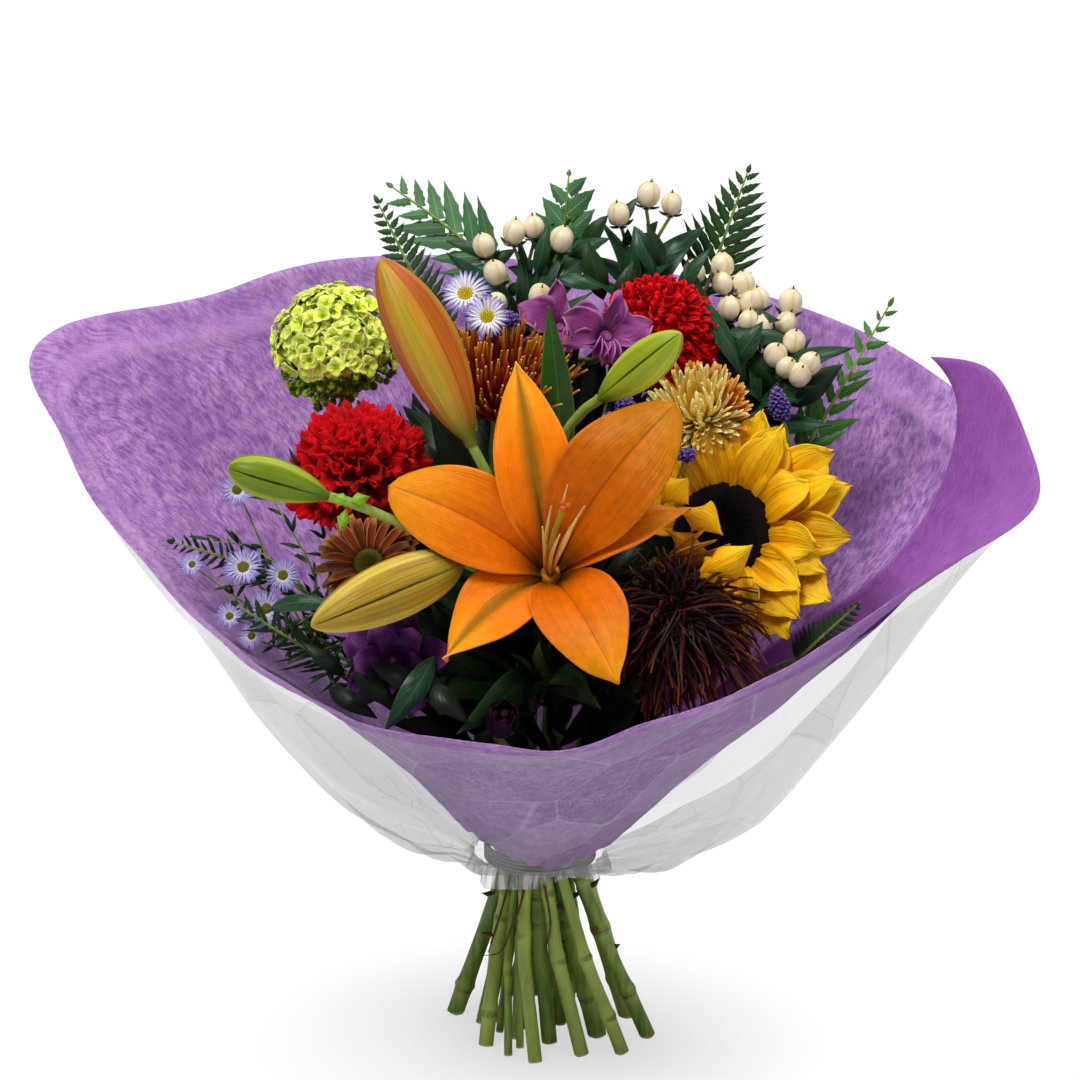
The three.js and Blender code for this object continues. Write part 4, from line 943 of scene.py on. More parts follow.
for name, bud in BUDS.items():
    bm = new_form()
    base = Vector(bud["base"])
    along_bud = Vector(bud["tip"]) - base
    length = along_bud.length
    strip = bud.get("open", 0.0)
    shares = [1 - (1 - k / 44) ** 1.7 for k in range(45)]
    line = [Vector((0, 1.2 * math.sin(math.pi * t), length * t)) for t in shares]
    swell, taper = bud["profile"]
    widest = swell / (swell + taper)
    most = widest**swell * (1 - widest) ** taper
    radius = [bud["radius"] * max(t**swell * (1 - t) ** taper / most, 0.2 * (1 - t)) for t in shares]
    body = tube(
        bm, line, radius, 84, lambda u, v: bud_section(2 * math.pi * u, strip)[1],
        lambda angle, v: 1 + (bud_section(angle, strip)[0] - 1) * min(v * 3, 1),
    )
    roll = turn_towards(along_bud, TO_CAMERA) + bud["turn"]
    bmesh.ops.transform(bm, matrix=Matrix.Rotation(roll, 4, "Z"), verts=body)
    settle(bm, "bud_" + name, bud["skin"], "lily_bud", "lily_bud_" + name, base, along_bud, crease=75)

# %% [markdown]
# The lily's stem carries the four bud stalks and long plain leaves with veins that run lengthwise.

# %% Lily stem
def leaf(bm, root, tip, face, half, fold=0.15, bend=0.12, steps=16, across=6, teeth=0, skin=1, tone=0.5,
         widest=0.8, twist=0.0, curl=0.12):
    """A leaf from its root to its tip that bows towards face, its halves folded up a little."""
    root, tip = Vector(root), Vector(tip)
    way = tip - root
    side = way.cross(Vector(face)).normalized()
    out_way = side.cross(way).normalized()
    line = [root + way * (k / steps) + out_way * (bend * way.length * math.sin(math.pi * k / steps))
            for k in range(steps + 1)]

    def width(v):
        return half * max(math.sin(math.pi * min(v, 1) ** widest), 0) ** 0.9 + 0.05

    def lift(c, v):
        return fold * half * c * c + 0.05 * half * math.sin(9 * v + c * 3) * abs(c)

    def reach(c, v):
        return teeth * ((v * 9) % 1 - 0.3) * abs(c) ** 6 if 0 < v < 1 else 0

    return blade(bm, line, side, width, curl=curl, across=across, lift=lift, reach=reach, tone=tone,
                 skin=skin, twist=twist)


STALKS = {
    "large": [(-18, -78, 262), (-24, -86, 296)],
    "right": [(2, -60, 282), (9, -62, 316)],
    "left": [(-26, -92, 266), (-58, -108, 292)],
    "lower": [(-12, -84, 244), (-22, -104, 262)],
}
bm = new_form()
stem_tube(bm, "lily", 40)
fork = STEM_LINES["lily"][-2]
for name, points in STALKS.items():
    base, tip = Vector(BUDS[name]["base"]), Vector(BUDS[name]["tip"])
    neck = base - (tip - base) * 0.2
    line = smooth([fork, *points, neck, base, base + (tip - base) * 0.03], 32)
    tube(bm, line, [2.4, 2.1, 2.1, 2.3, 2.3, 2.6], 10, tone=0.25)
LILY_LEAVES = [
    {"root": (10, -40, 290), "tip": (4, -52, 377), "face": (0.3, -1, 0.2), "half": 8, "bend": 0.04,
     "skin": 1},
    {"root": (2, -58, 190), "tip": (4, -140, 232), "face": (0.9, -0.2, 0.6), "half": 8.5, "bend": 0.2,
     "curl": 0.5},
    {"root": (-4, -56, 190), "tip": (-66, -124, 214), "face": (0, -0.3, 1), "half": 9},
    {"root": (6, -50, 180), "tip": (44, -120, 214), "face": (0.2, 0, 1), "half": 9, "bend": 0.2},
    {"root": (4, -60, 200), "tip": (26, -136, 218), "face": (-0.4, -0.4, 0.8), "half": 8, "bend": 0.16},
    {"root": (-2, -64, 210), "tip": (-36, -136, 206), "face": (0.6, -0.6, 0.6), "half": 8, "curl": 0.4},
]
for i, shape in enumerate(LILY_LEAVES):
    leaf(bm, **{"tone": 0.3 + 0.1 * i, "twist": 0.5 * math.sin(i * 2.0), "skin": 3, **shape})
joint = Vector((-83, -113, 304))
for turn, length, half in ((0.5, 11, 4), (2.4, 9, 3.5), (-1.9, 12, 3.5)):
    tip = joint + Vector((math.cos(turn) * length, -5, math.sin(turn) * length))
    leaf(bm, joint, tip, (0, -0.8, 0.5), half, fold=0.7, bend=0.35, steps=12, skin=2, widest=1.3, curl=0.8)
BRACT = leaves_of("lily bract", "7CAC20", "A8CC4C", "B8DC60", side_veins=2.0)
settle(bm, "lily_cut_stem", [STEM, LILY_LEAF, BRACT, DARK_LEAF], "green_stem", "lily_stem")

# %% [markdown]
# ## Sunflower
# Three layers of ribbed rays stand round a dark dome of seeds. On the side that the lily presses against,
# a few rays have folded over the dome. The dome is studded with small florets in the spiral that a real
# one grows in, and the outermost lean out over the rays.

# %% Sunflower rays
RAYS = 34
FOLDED_SIDE = 0.55  # within this angle of the lily the rays have folded over the dome
RAY_WIDTH = [0.34, 0.6, 0.84, 0.98, 1.02, 1.0, 0.9, 0.66, 0.14]
lily_side = turn_towards(FLOWERS["sunflower"][1], (-1, 0, -0.25))
draw = random.Random(5)
bm = new_form()


def sun_ray(turn, start, length, rise, half, curl, sway, seed, tone, twist=0.0):
    def lift(c, v):
        ribs = 1.1 * math.cos(c * 6 + seed) + 0.4 * math.cos(c * 15 + seed)
        pleats = ribs * math.sin(math.pi * min(v * 1.1, 1))
        return pleats + 2.4 * c * math.sin(4 * v + seed) * v + 1.2 * math.sin(6 * v + seed * 2) * v

    def reach(c, v):
        notch = 1.4 * math.cos(c * 8 + seed) * (v > 0.93)
        return -2.4 * c * c * max(v - 0.7, 0) / 0.3 + notch

    petal(bm, turn, start, length, rise, [w * half for w in RAY_WIDTH], 20, curl=curl, across=16, lift=lift,
          reach=reach, sway=sway, tone=tone, twist=twist)


for i in range(RAYS):
    turn = i / RAYS * 2 * math.pi
    away = abs((turn - lily_side + math.pi) % (2 * math.pi) - math.pi)
    layer = i % 3
    if away < FOLDED_SIDE:
        continue
    length = 45 - 3.5 * layer + draw.uniform(-3, 2) - 3 * (away < 1.3)
    rise = [4 + 12 * layer, 20 + 10 * layer, 8 + 4 * layer, draw.uniform(-26, 6)]
    sun_ray(turn + draw.uniform(-0.07, 0.07), (17.5 - layer, layer * 0.9 - 1), length, rise,
            draw.uniform(9.4, 12.4), [0.7, 0.5, 0.35, draw.uniform(0.0, 0.6)], draw.uniform(-6, 6), i * 1.3,
            draw.uniform(0.1, 0.85), draw.uniform(-0.35, 0.35))
tube(bm, upright(-3.2, -2.4, 0.8, 1.2), [13, 19, 19, 14], 24)
settle(bm, "sunflower_ray_ring", SUN_RAY, "sunflower_yellow", "sunflower_rays", *seat("sunflower"), thick=0.5)

# %% [markdown]
# The folded rays lie on the side of the dome that the lily pushes. Their places are read from the photo.

# %% Folded rays
FOLDED = [
    {"root": (54, -58, 286), "tip": (66, -64, 301), "half": 8.0, "bend": 0.25, "tone": 0.95},
    {"root": (60, -62, 288), "tip": (82, -70, 276), "half": 8.5, "bend": 0.3, "tone": 0.95},
    {"root": (56, -62, 276), "tip": (76, -72, 268), "half": 6.5, "bend": 0.3, "tone": 0.7},
    {"root": (68, -90, 262), "tip": (94, -90, 278), "half": 8.5, "bend": 0.2, "tone": 0.9},
    {"root": (66, -88, 260), "tip": (84, -90, 268), "half": 6.5, "bend": 0.25, "tone": 0.6},
]
bm = new_form()
for i, ray in enumerate(FOLDED):
    leaf(bm, **ray, face=(-0.3, -1, 0.5), fold=0.9, steps=16, across=12, skin=0, widest=1.35, curl=0.5,
         twist=0.4 * math.sin(i * 2))
settle(bm, "sunflower_folded_rays", SUN_RAY, "sunflower_yellow", "sunflower_rays", thick=0.5)

# %% [markdown]
# The florets of the disc stand on a closed shell. The outermost are the longest and lean out.

# %% Sunflower disc
DOME = [(22.4, 1.6), (23.6, 3.2), (22.8, 5.6), (19.5, 7.6), (14, 8.0), (8, 7.0), (2, 6.6)]
SEEDS = 900


def stub(bm, sides, low, high, long):
    """A small closed cone: the simplest floret."""
    made = bmesh.ops.create_cone(bm, cap_ends=True, segments=sides, radius1=low, radius2=high, depth=long)
    return made["verts"]


def dome_point(u, v):
    return polar(bow([r for r, _ in DOME], v), 2 * math.pi * u, bow([h for _, h in DOME], v))


bm = new_form()
patch(bm, 40, 20, dome_point, 0.3)
bmesh.ops.remove_doubles(bm, verts=bm.verts, dist=0.002)
bmesh.ops.holes_fill(bm, edges=[e for e in bm.edges if e.is_boundary], sides=0)
for i in range(SEEDS):
    share = math.sqrt((i + 0.5) / SEEDS)
    radius = 23.4 * share
    height = 6.6 + 1.5 * math.sin(math.pi * min(share * 1.15, 1)) - 4.6 * max(share - 0.74, 0) / 0.26
    lean = 1.45 * share**4
    long = 2.2 + 1.2 * noise.noise(Vector((i * 0.7, 0, 0))) + 4.4 * (share > 0.86)
    floret = stub(bm, 4, 0.62, 0.1, long)
    turn = i * GOLDEN
    axis = polar(math.sin(lean), turn, math.cos(lean))
    axis += Vector((math.sin(i * 3.1), math.cos(i * 5.3), 0)) * 0.28
    put(bm, floret, polar(radius, turn, height + 0.6), axis)
    for vert in floret:
        vert[bm.verts.layers.float["tone"]] = 0.3 + 0.7 * (i % 9 == 0) * (share > 0.5)
settle(bm, "sunflower_seed_dome", SEED_DISC, "seed_disc", "sunflower_disc", *seat("sunflower"), crease=35)

# %% [markdown]
# ## Carnation
# Fans of soft petals, each frilled and cut into small teeth along its outer edge, stand ever more upright
# towards the middle. The frill is a wave whose height grows towards the edge.

# %% Carnation
bm = new_form()
WHORLS = [  # petals, tilt, length, half breadth
    (10, -4, 29, 11), (11, 14, 30, 11), (11, 30, 30, 11), (10, 46, 29, 10), (9, 62, 28, 9), (7, 78, 26, 8),
]
for w, (count, tilt, length, half) in enumerate(WHORLS):
    for i in range(count):
        seed = w * 2.7 + i * 1.9

        def lift(c, v, seed=seed):
            wave = 2.6 * math.sin(c * 7 + seed) + 1.5 * math.sin(c * 17 + seed * 3) + 0.5 * math.sin(c * 33)
            return v**3 * wave

        def reach(c, v, seed=seed):
            teeth = 0.7 * math.sin(c * 50 + seed) + 0.7 * math.sin(c * 23 + seed)
            teeth += 0.9 * math.sin(c * 9 + seed)
            return -5 * c * c * v**2 + (teeth if v > 0.9 else 0)

        clump = 2.4 * math.sin(2 * (i / count) * 2 * math.pi + w)
        petal(bm, (i / count + w * 0.17) * 2 * math.pi, (5 - 0.6 * w, 3 + w), length + clump,
              [tilt + 28, tilt + 12, tilt - 8 + 12 * math.sin(seed)],
              [half * x for x in (0.12, 0.4, 0.75, 1.0, 1.06)], 9, curl=[1.2, 0.8, 0.6, 0.5], across=30,
              lift=lift, reach=reach, tone=0.5 + 0.4 * math.sin(seed * 5))
tube(bm, upright(0.2, 3, 9, 15, 22, 26), [3, 8, 10, 10, 7, 4], 16)
settle(bm, "carnation_frills", CARNATION, "carnation_red", "carnation_bloom", *seat("carnation"), thick=0.35)

# %% [markdown]
# ## Pompon and hydrangea
# Both are balls of many small parts set in a spiral: rolled petal tips on the pompon, cupped four-part
# flowers on the hydrangea. A small helper walks the spiral over the ball.

# %% Round heads
def over_ball(count, tilts, centre, radius):
    """Places over a ball in an even spiral: a point and the way out from the middle, in the head's frame."""
    for i in range(count):
        low, high = (math.cos(math.radians(t)) for t in tilts)
        flat = low + (high - low) * (i + 0.5) / count
        out_way = polar(math.sqrt(1 - flat * flat), i * GOLDEN, flat)
        yield i, Vector((0, 0, centre)) + out_way * radius, out_way


bm = new_form()
draw = random.Random(11)
for i, at, out_way in over_ball(520, (0, 124), 14, 21):
    ragged = max(-out_way.z, 0) + 0.4 * max(out_way.x, 0) * (out_way.z < 0.3)
    long = 9.0 + 1.2 * math.sin(i * 1.7) + 4 * ragged * draw.random()
    tip = petal(bm, 0, (0.2, -2), long, [88, 84, 74, 50 + draw.uniform(-20, 20)],
                [0.8, 1.5, 1.9, 2.0, 1.7, 0.9], 6, curl=[1.7, 1.5, 1.2, 0.8], across=4,
                tone=draw.uniform(0.05, 0.95))
    put(bm, tip, at, out_way + shaken(draw, 0.16 + 0.3 * ragged), i)
tube(bm, upright(0.2, 3, 10, 20, 30, 36), [4, 18, 23, 22, 15, 3], 20)
settle(bm, "pompon_petals", POMPON, "pompon_red", "pompon_bloom", *seat("pompon"), thick=0.3)

# %% [markdown]
# A hydrangea's floret has four cupped sepals. Low on the ball many are still closed, small and dark.

# %% Hydrangea
bm = new_form()
draw = random.Random(12)
for i, at, out_way in over_ball(330, (0, 132), 25, 24):
    low = out_way.z < 0.05 and draw.random() < 0.75 - out_way.z
    size = draw.uniform(0.72, 1.1) * (0.75 if low else 1)
    open_up = draw.uniform(-16, 12)
    made = []
    for p in range(4):
        made += petal(bm, p * math.pi / 2, (0.4, 0), 5.6 * size,
                      [98, 96, 104, 120] if low else [58 + open_up, 46 + open_up, 22 + open_up, -6 + open_up],
                      [0.6, 1.9 * size, 2.8 * size, 3.0 * size, 2.3 * size, 0.6], 6, curl=[1.0, 0.8, 0.6],
                      across=4, tone=draw.uniform(0.15, 0.95) - (0.2 if low else 0), skin=1 if low else 0)
    made += tube(bm, upright(-6, -2, 0.8), [0.5, 0.5, 0.9], 5, tone=0.3, skin=1)
    lean = out_way + shaken(draw, 0.35)
    put(bm, made, at + out_way * draw.uniform(-4, 3.5), lean, i)
tube(bm, upright(0.2, 5, 14, 25, 38, 45), [3, 13, 20, 22, 17, 4], 20, 0.0, skin=1)
settle(bm, "hydrangea_florets", [LIME, LIME_DARK], "lime_green", "hydrangea_bloom", *seat("hydrangea"),
       thick=0.3)

# %% [markdown]
# ## Chrysanthemums
# Four kinds, one idea: rays in a spiral, layer under layer, each leaning further out than the last. Some
# are rolled into quills, and some are straps with their edges turned up.

# %% Quills and straps
def bends(i, count, tilt, curl):
    """The rises of petal i: the later ones lean out further, and each curls on along its length."""
    out = tilt[0] + (tilt[1] - tilt[0]) * math.sqrt((i + 0.5) / count)
    return [90 - out + curl[0], 90 - out + (curl[0] + curl[1]) / 2, 90 - out + curl[1]]


def quill_head(bm, count, length, radius, tilt, curl, heart, wild, seed, start=2.0, skin_of=None, pull=None):
    """Rolled petals in a spiral. wild bends them at random, and pull drags them one way."""
    draw = random.Random(seed)
    steps = 8
    for i in range(count):
        reach = length * (0.88 + 0.12 * math.sin(i * 2.1)) * draw.uniform(0.9, 1.04)
        rises = [b + draw.uniform(-8, 8) for b in bends(i, count, tilt, curl)]
        line = arc((start, heart * 0.7), reach, rises, i * GOLDEN, steps)
        sway, wave = shaken(draw, length * wild), shaken(draw, length * wild * 0.4)
        if pull:
            sway += Vector(pull) * draw.random()
        line = [p + sway * (k / steps) ** 2 + wave * math.sin(5 * k / steps) for k, p in enumerate(line)]
        tube(bm, line, [r * radius for r in (0.6, 0.9, 1.0, 1.0, 0.55)], 6, draw.uniform(0, 1),
             skin=skin_of(i, draw) if skin_of else 0)


def strap_head(bm, count, length, half, tilt, curl, heart, fold, seed, skin_of, start=2.5):
    """Flat petals in a spiral, their edges turned up by fold."""
    draw = random.Random(seed)
    for i in range(count):
        rises = bends(i, count, tilt, curl)
        rises[2] += draw.uniform(-14, 14)
        petal(bm, i * GOLDEN, (start, heart * 0.7), length * draw.uniform(0.85, 1.05), rises,
              [half * w for w in (0.5, 0.8, 1.0, 1.05, 0.9, 0.35)], 9,
              curl=[fold, fold, fold * 0.8, fold * 0.9], across=5, sway=draw.uniform(-2.4, 2.4),
              tone=draw.uniform(0, 1), twist=draw.uniform(-0.5, 0.5), skin=skin_of(i, draw))


def heart_of(bm, heart):
    """A closed core, so that no light falls through between the petals."""
    tube(bm, [Vector((0, 0, heart * z)) for z in (0.03, 0.4, 0.8, 1.1, 1.3)],
         [heart * r for r in (0.3, 1.0, 1.0, 0.8, 0.3)], 14, 0.4)


def some(share, skin, other=0):
    """Chooses between two skins for each petal."""
    return lambda i, draw: skin if draw.random() < share else other


bm = new_form()
quill_head(bm, 380, 44, 0.8, (2, 66), (-10, 18), 7, seed=21, wild=0.06)
heart_of(bm, 7)
settle(bm, "bronze_quills", BRONZE_QUILL, "bronze_quill", "quill_mum_bloom", *seat("quill_mum"))

bm = new_form()
upper_side = turn_towards(FLOWERS["golden_mum"][1], (0.35, 0, 1))


def gold_or_bronze(i, draw):
    back = math.cos(i * GOLDEN - upper_side)  # the petals of the upper side are seen from behind
    return 1 if i > 50 and back > draw.uniform(-0.1, 0.5) else 0


strap_head(bm, 210, 24, 1.7, (4, 98), (-10, 34), 7, fold=1.4, seed=22, skin_of=gold_or_bronze)
heart_of(bm, 7)
settle(bm, "golden_straps", [GOLD, BRONZE], "golden_petal", "golden_mum_bloom", *seat("golden_mum"),
       thick=0.35)

bm = new_form()
down_right = facing(*seat("dark_mum")).inverted().to_3x3() @ Vector((12, 0, -17))
quill_head(bm, 580, 35, 0.66, (18, 110), (34, -90), 9, start=4.0, seed=23, wild=0.32, skin_of=some(0.25, 2),
           pull=down_right)
for i in range(110):
    share = math.sqrt((i + 0.5) / 110)
    bud = tube(bm, upright(0, 1.6, 3.4, 4.2), [0.7, 0.9, 0.7, 0.2], 5, 0.2 + 0.5 * share, skin=1)
    turn = i * GOLDEN
    put(bm, bud, (8.5 * share * math.cos(turn), 8.5 * share * math.sin(turn), 10.5 - 3 * share * share),
        (0.5 * share * math.cos(turn), 0.5 * share * math.sin(turn), 1))
heart_of(bm, 8)
DARK_EYE = buds_of("dark olive eye", "120E04", "2A2408", "3A3210", "5E4C18", "1E1A06", "5E4C18", 0.8)
settle(bm, "dark_quills", [DARK, DARK_EYE, DARK_RED], "dark_petal", "dark_mum_bloom", *seat("dark_mum"))

# %% [markdown]
# Between the dark quills and the sunflower a few amber straps with red stripes stick out.

# %% Amber straps
AMBER = petals_of(
    "amber chrysanthemum petal", "F0A01A", "FFC640", "8A1A10", 0.5, root_end=0.55, veins=9.0, vein_share=0.35,
    midrib="8E2A12", midrib_share=0.75, midrib_width=0.3,
)
bm = new_form()
draw = random.Random(41)
for i in range(16):
    root = Vector((56, -72, 256)) + Vector((6 * math.sin(i * 2.4), 0, 9 * math.cos(i * 1.7)))
    way = Vector((1, -0.15, 0.9 - 1.5 * i / 15)).normalized()
    leaf(bm, root, root + way * draw.uniform(20, 30), (-0.2, -1, 0.5), draw.uniform(2.0, 3.2), fold=1.2,
         bend=draw.uniform(0.05, 0.3), steps=12, skin=0, widest=0.7, curl=0.9, tone=draw.random())
settle(bm, "amber_straps", AMBER, "golden_petal", "dark_mum_bloom", thick=0.35)

# %% [markdown]
# The rust daisy is flat, in three layers, round an olive button.

# %% Rust daisy
bm = new_form()
draw = random.Random(24)
for ring, (count, length, rise) in enumerate([(20, 19, 2), (19, 18.5, 12), (17, 17.5, 26)]):
    for i in range(count):
        petal(bm, (i + 0.4 * ring) / count * 2 * math.pi, (5.5, 0.8 + 0.8 * ring),
              length * draw.uniform(0.86, 1.06), [rise + 14, rise + 4, rise - 22 + draw.uniform(-16, 10)],
              [w * 2.1 for w in (0.4, 0.8, 1, 1.05, 0.95, 0.5)], 9, curl=[1.1, 0.9, 0.6], across=5,
              sway=draw.uniform(-2, 2), tone=draw.uniform(0, 1), twist=draw.uniform(-0.4, 0.4))
tube(bm, upright(0.2, 1, 2.4, 3.2), [3, 7.4, 7.4, 6], 18)
settle(bm, "rust_ray_ring", RUST, "rust_petal", "rust_daisy_rays", *seat("rust_daisy"), thick=0.35)


def button(bm, radius, base, count, skin=0, stud=0.7):
    """A low dome of tiny florets, as in the middle of a daisy."""
    tube(bm, [Vector((0, 0, base + z * radius)) for z in (0, 0.16, 0.3, 0.38)],
         [radius * r for r in (0.9, 1.0, 0.8, 0.2)], 14, 0.3, skin=skin)
    for i in range(count):
        share = math.sqrt((i + 0.5) / count)
        turn = i * GOLDEN
        made = stub(bm, 5, stud, stud * 0.5, stud * 2)
        put(bm, made, (radius * share * math.cos(turn), radius * share * math.sin(turn),
                       base + radius * (0.44 - 0.3 * share * share)),
            (0.7 * share * math.cos(turn), 0.7 * share * math.sin(turn), 1))
        for vert in made:
            vert[bm.verts.layers.float["tone"]] = 0.45 + 0.55 * share
            for face in vert.link_faces:
                face.material_index = skin


bm = new_form()
button(bm, 6.6, 3.5, 130, stud=0.62)
settle(bm, "rust_daisy_button", OLIVE_DISC, "olive_disc", "rust_daisy_disc", *seat("rust_daisy"), crease=35)

# %% [markdown]
# ## Orchids and purple blooms
# Five soft spread petals round a lip. Their edges wave, and the margins are paler than the middles.

# %% Orchids
def wavy(seed, size):
    """Waves that grow towards a petal's edges and its tip."""

    def lift(c, v):
        slow = math.sin(6 * v + seed) * c * c
        return size * (slow + 0.6 * math.sin(12 * v + 3 * c + seed) * abs(c)) * v

    return lift


def orchid(name, node, at, axis, size, seed):
    bm = new_form()
    narrow = [0.2, 0.6, 0.95, 1.0, 0.88, 0.58, 0.1]
    for i, (turn, half, length, rise) in enumerate([
        (90, 5.6, 23, [44, 24, 4]), (210, 5.0, 22, [34, 10, -30]), (330, 5.0, 22, [34, 10, -30]),
        (20, 9.4, 23, [40, 14, -20]), (160, 9.4, 23, [40, 16, -24]),
    ]):
        petal(bm, math.radians(turn + 8 * math.sin(seed + i)), (1.8, 1), length * size, rise,
              [w * half * size for w in narrow], 18, curl=[0.8, 0.5, 0.3], across=12,
              lift=wavy(seed + i, 3.6), tone=0.3 + 0.12 * i, twist=0.3 * math.sin(seed * 2 + i))
    for side_turn, long in ((250, 17), (290, 17), (270, 19)):
        petal(bm, math.radians(side_turn), (1.6, 3), long * size, [76, 40, -20, -70],
              [w * 4.4 * size for w in narrow], 14, curl=[1.6, 1.2, 0.6], across=8,
              lift=wavy(seed, 2.0), tone=0.8)
    tube(bm, smooth([(0, 0, 0.2), (0, 0, 3), (0, -0.6, 6), (0, -1.6, 8.6)], 8), [2.4, 2.8, 2.2, 1.3], 12, 0.2)
    settle(bm, name, ORCHID, "orchid_purple", node, at, axis, thick=0.4)


orchid("orchid_left_petals", "orchid_flower_left", *seat("orchid"), 0.98, 1.0)
orchid("orchid_right_petals", "orchid_flower_right", *SECOND_ORCHID, 0.95, 4.0)

bm = new_form()
for ring, (count, tilt, size) in enumerate([(5, 0, 1.0), (5, 26, 0.85)]):
    for i in range(count):
        petal(bm, (i / count + ring * 0.1) * 2 * math.pi, (3, 1.5 + ring), 25 * size,
              [52 + tilt, 34 + tilt, 8 + tilt, -20 + tilt],
              [w * 9 * size for w in (0.2, 0.6, 0.95, 1.05, 1.0, 0.8, 0.4)], 14,
              curl=[1.0, 0.7, 0.5], across=10, lift=wavy(i + ring, 2.4), tone=0.3 + 0.1 * i)
tube(bm, upright(0.2, 4, 9, 13), [2, 5, 4.5, 1.5], 10)
settle(bm, "purple_low_petals", PURPLE_IN_PAINTED_SHADE, "orchid_purple", "purple_low_bloom", *seat("purple_low"),
       thick=0.4)

bm = new_form()
for ring, (count, tilt, size) in enumerate([(4, 0, 1.0), (5, 8, 0.97), (4, 16, 0.9)]):
    for i in range(count):
        petal(bm, (i / count + ring * 0.13) * 2 * math.pi, (3.2 - ring * 0.5, 1 + ring), 26 * size,
              [44 + tilt, 80, 98, 100 + 8 * math.sin(i * 3)],
              [w * 7.6 * size for w in (0.35, 0.85, 1.0, 0.95, 0.72, 0.4, 0.05)], 14,
              curl=[1.1, 1.1, 0.9, 0.8], across=8, lift=wavy(i, 0.8), tone=0.3 + 0.15 * i)
tube(bm, upright(0.2, 3, 10, 18, 24), [2, 5, 6.4, 5, 1.5], 12)
settle(bm, "plum_bud_petals", PLUM, "plum_petal", "plum_bud", *seat("plum_bud"), thick=0.4)

# %% [markdown]
# ## Asters, berries and statice
# Fine sprays fill the gaps. A daisy is two rings of thin rays round a button. A sprig is a thin stalk
# with narrow leaves along it. A berry is an egg with three faint seams, a dark point at its tip and five
# small sepals under it.

# %% Asters
def daisy(bm, at, face, radius, seed):
    """Two rings of thin rays round a button."""
    draw = random.Random(seed)
    made = []
    for ring in (0, 1):
        count = 25 - 3 * ring
        for i in range(count):
            made += petal(bm, (i + 0.5 * ring) / count * 2 * math.pi, (radius * 0.24, 0.2 + 0.3 * ring),
                          radius * draw.uniform(0.68, 0.84), [24 + 16 * ring, 12, -8 + draw.uniform(-14, 12)],
                          [w * radius * 0.06 for w in (0.6, 0.9, 1, 0.9, 0.4)], 5, curl=0.8, across=2,
                          sway=draw.uniform(-0.8, 0.8), tone=draw.uniform(0.1, 0.9), skin=1)
    before = set(bm.verts)
    button(bm, radius * 0.3, 0.4, 40 if radius > 10 else 20, 2, radius * 0.04)
    made += [v for v in bm.verts if v not in before]
    put(bm, made, at, face, seed)


def sprig(bm, points, seed, long, half, every, end_leaf=True, steps=18, thick=0.7):
    """A thin stalk through points, with narrow leaves to all sides and one at its end."""
    draw = random.Random(seed)
    line = smooth(points, steps)
    tube(bm, line, [thick, thick * 0.7, thick * 0.4], 5)
    for k in range(2, steps if end_leaf else steps * 6 // 10, every):
        way = (line[k + 1] - line[k]).normalized()
        for _ in range(2):
            aside = shaken(draw, 1.0).normalized()
            end = line[k] + (way * 0.75 + aside * 0.8).normalized() * long * draw.uniform(0.7, 1.15)
            leaf(bm, line[k], end, (0.1, -0.8, 0.6), half, steps=5, across=2, skin=3, bend=0.12,
                 tone=draw.uniform(0, 1))
    if end_leaf:
        end = line[-1] + (line[-1] - line[-2]).normalized() * long
        leaf(bm, line[-1], end, (0, -0.8, 0.6), half, steps=5, across=2, skin=3)


ASTERS = {
    "aster_top": ((-0.05, -0.75, 0.6), [(-34, -10, 372, 12), (-24, -24, 365, 11)]),
    "aster_left": ((-0.1, -0.8, 0.5), [
        (-134, -62, 258, 9.5), (-115, -76, 259, 8), (-122, -84, 246, 8.5), (-140, -72, 238, 6.5),
        (-129, -84, 233, 6.5), (-138, -40, 288, 8), (-158, -52, 256, 6)]),
}
ASTER_SPRIGS = [
    [(-102, -58, 250), (-112, -54, 272), (-124, -50, 292)],
    [(-104, -62, 244), (-128, -56, 264), (-150, -52, 268)],
    [(-98, -66, 236), (-112, -72, 246), (-122, -76, 244)],
    [(-98, -72, 240), (-106, -82, 240), (-112, -88, 236)],
    [(-88, -82, 228), (-96, -92, 230), (-104, -96, 228)],
    [(-82, -88, 222), (-90, -98, 224), (-96, -104, 222)],
    [(-96, -56, 252), (-100, -50, 276), (-110, -44, 300)],
    [(-100, -60, 240), (-118, -62, 252), (-138, -64, 250)],
    [(-76, -92, 220), (-82, -104, 220), (-86, -110, 218)],
]
for seed, (name, (face, heads)) in enumerate(ASTERS.items()):
    bm = new_form()
    stem_tube(bm, name, 50 + seed)
    end = STEM_LINES[name][-2]
    for i, (x, y, z, radius) in enumerate(heads):
        at = Vector((x, y, z))
        daisy(bm, at, (face[0] + 0.25 * math.sin(i * 3), face[1], face[2] + 0.2 * math.cos(i * 2)), radius,
              i * 7 + seed)
        middle = end.lerp(at, 0.5) + Vector((0, 0, 4 * math.sin(i)))
        sprig(bm, [end, middle, at - Vector(face).normalized() * 4, at], i + 30, 8, 0.8, 3, end_leaf=False)
    if name == "aster_left":
        for i, points in enumerate(ASTER_SPRIGS):
            sprig(bm, [end, *points], i + 60, 10, 0.9, 2)
    rays = ASTER_PALE if name == "aster_top" else ASTER
    discs = YELLOW_DISC if name == "aster_top" else OLIVE_DISC
    settle(bm, name + "_spray", [STEM, rays, discs, DARK_LEAF], "aster_lilac", name, crease=40)

# %% [markdown]
# Each berry stands on its own forked stalk with a small leaf at the fork. Larger leaves grow along the
# end of the stem.

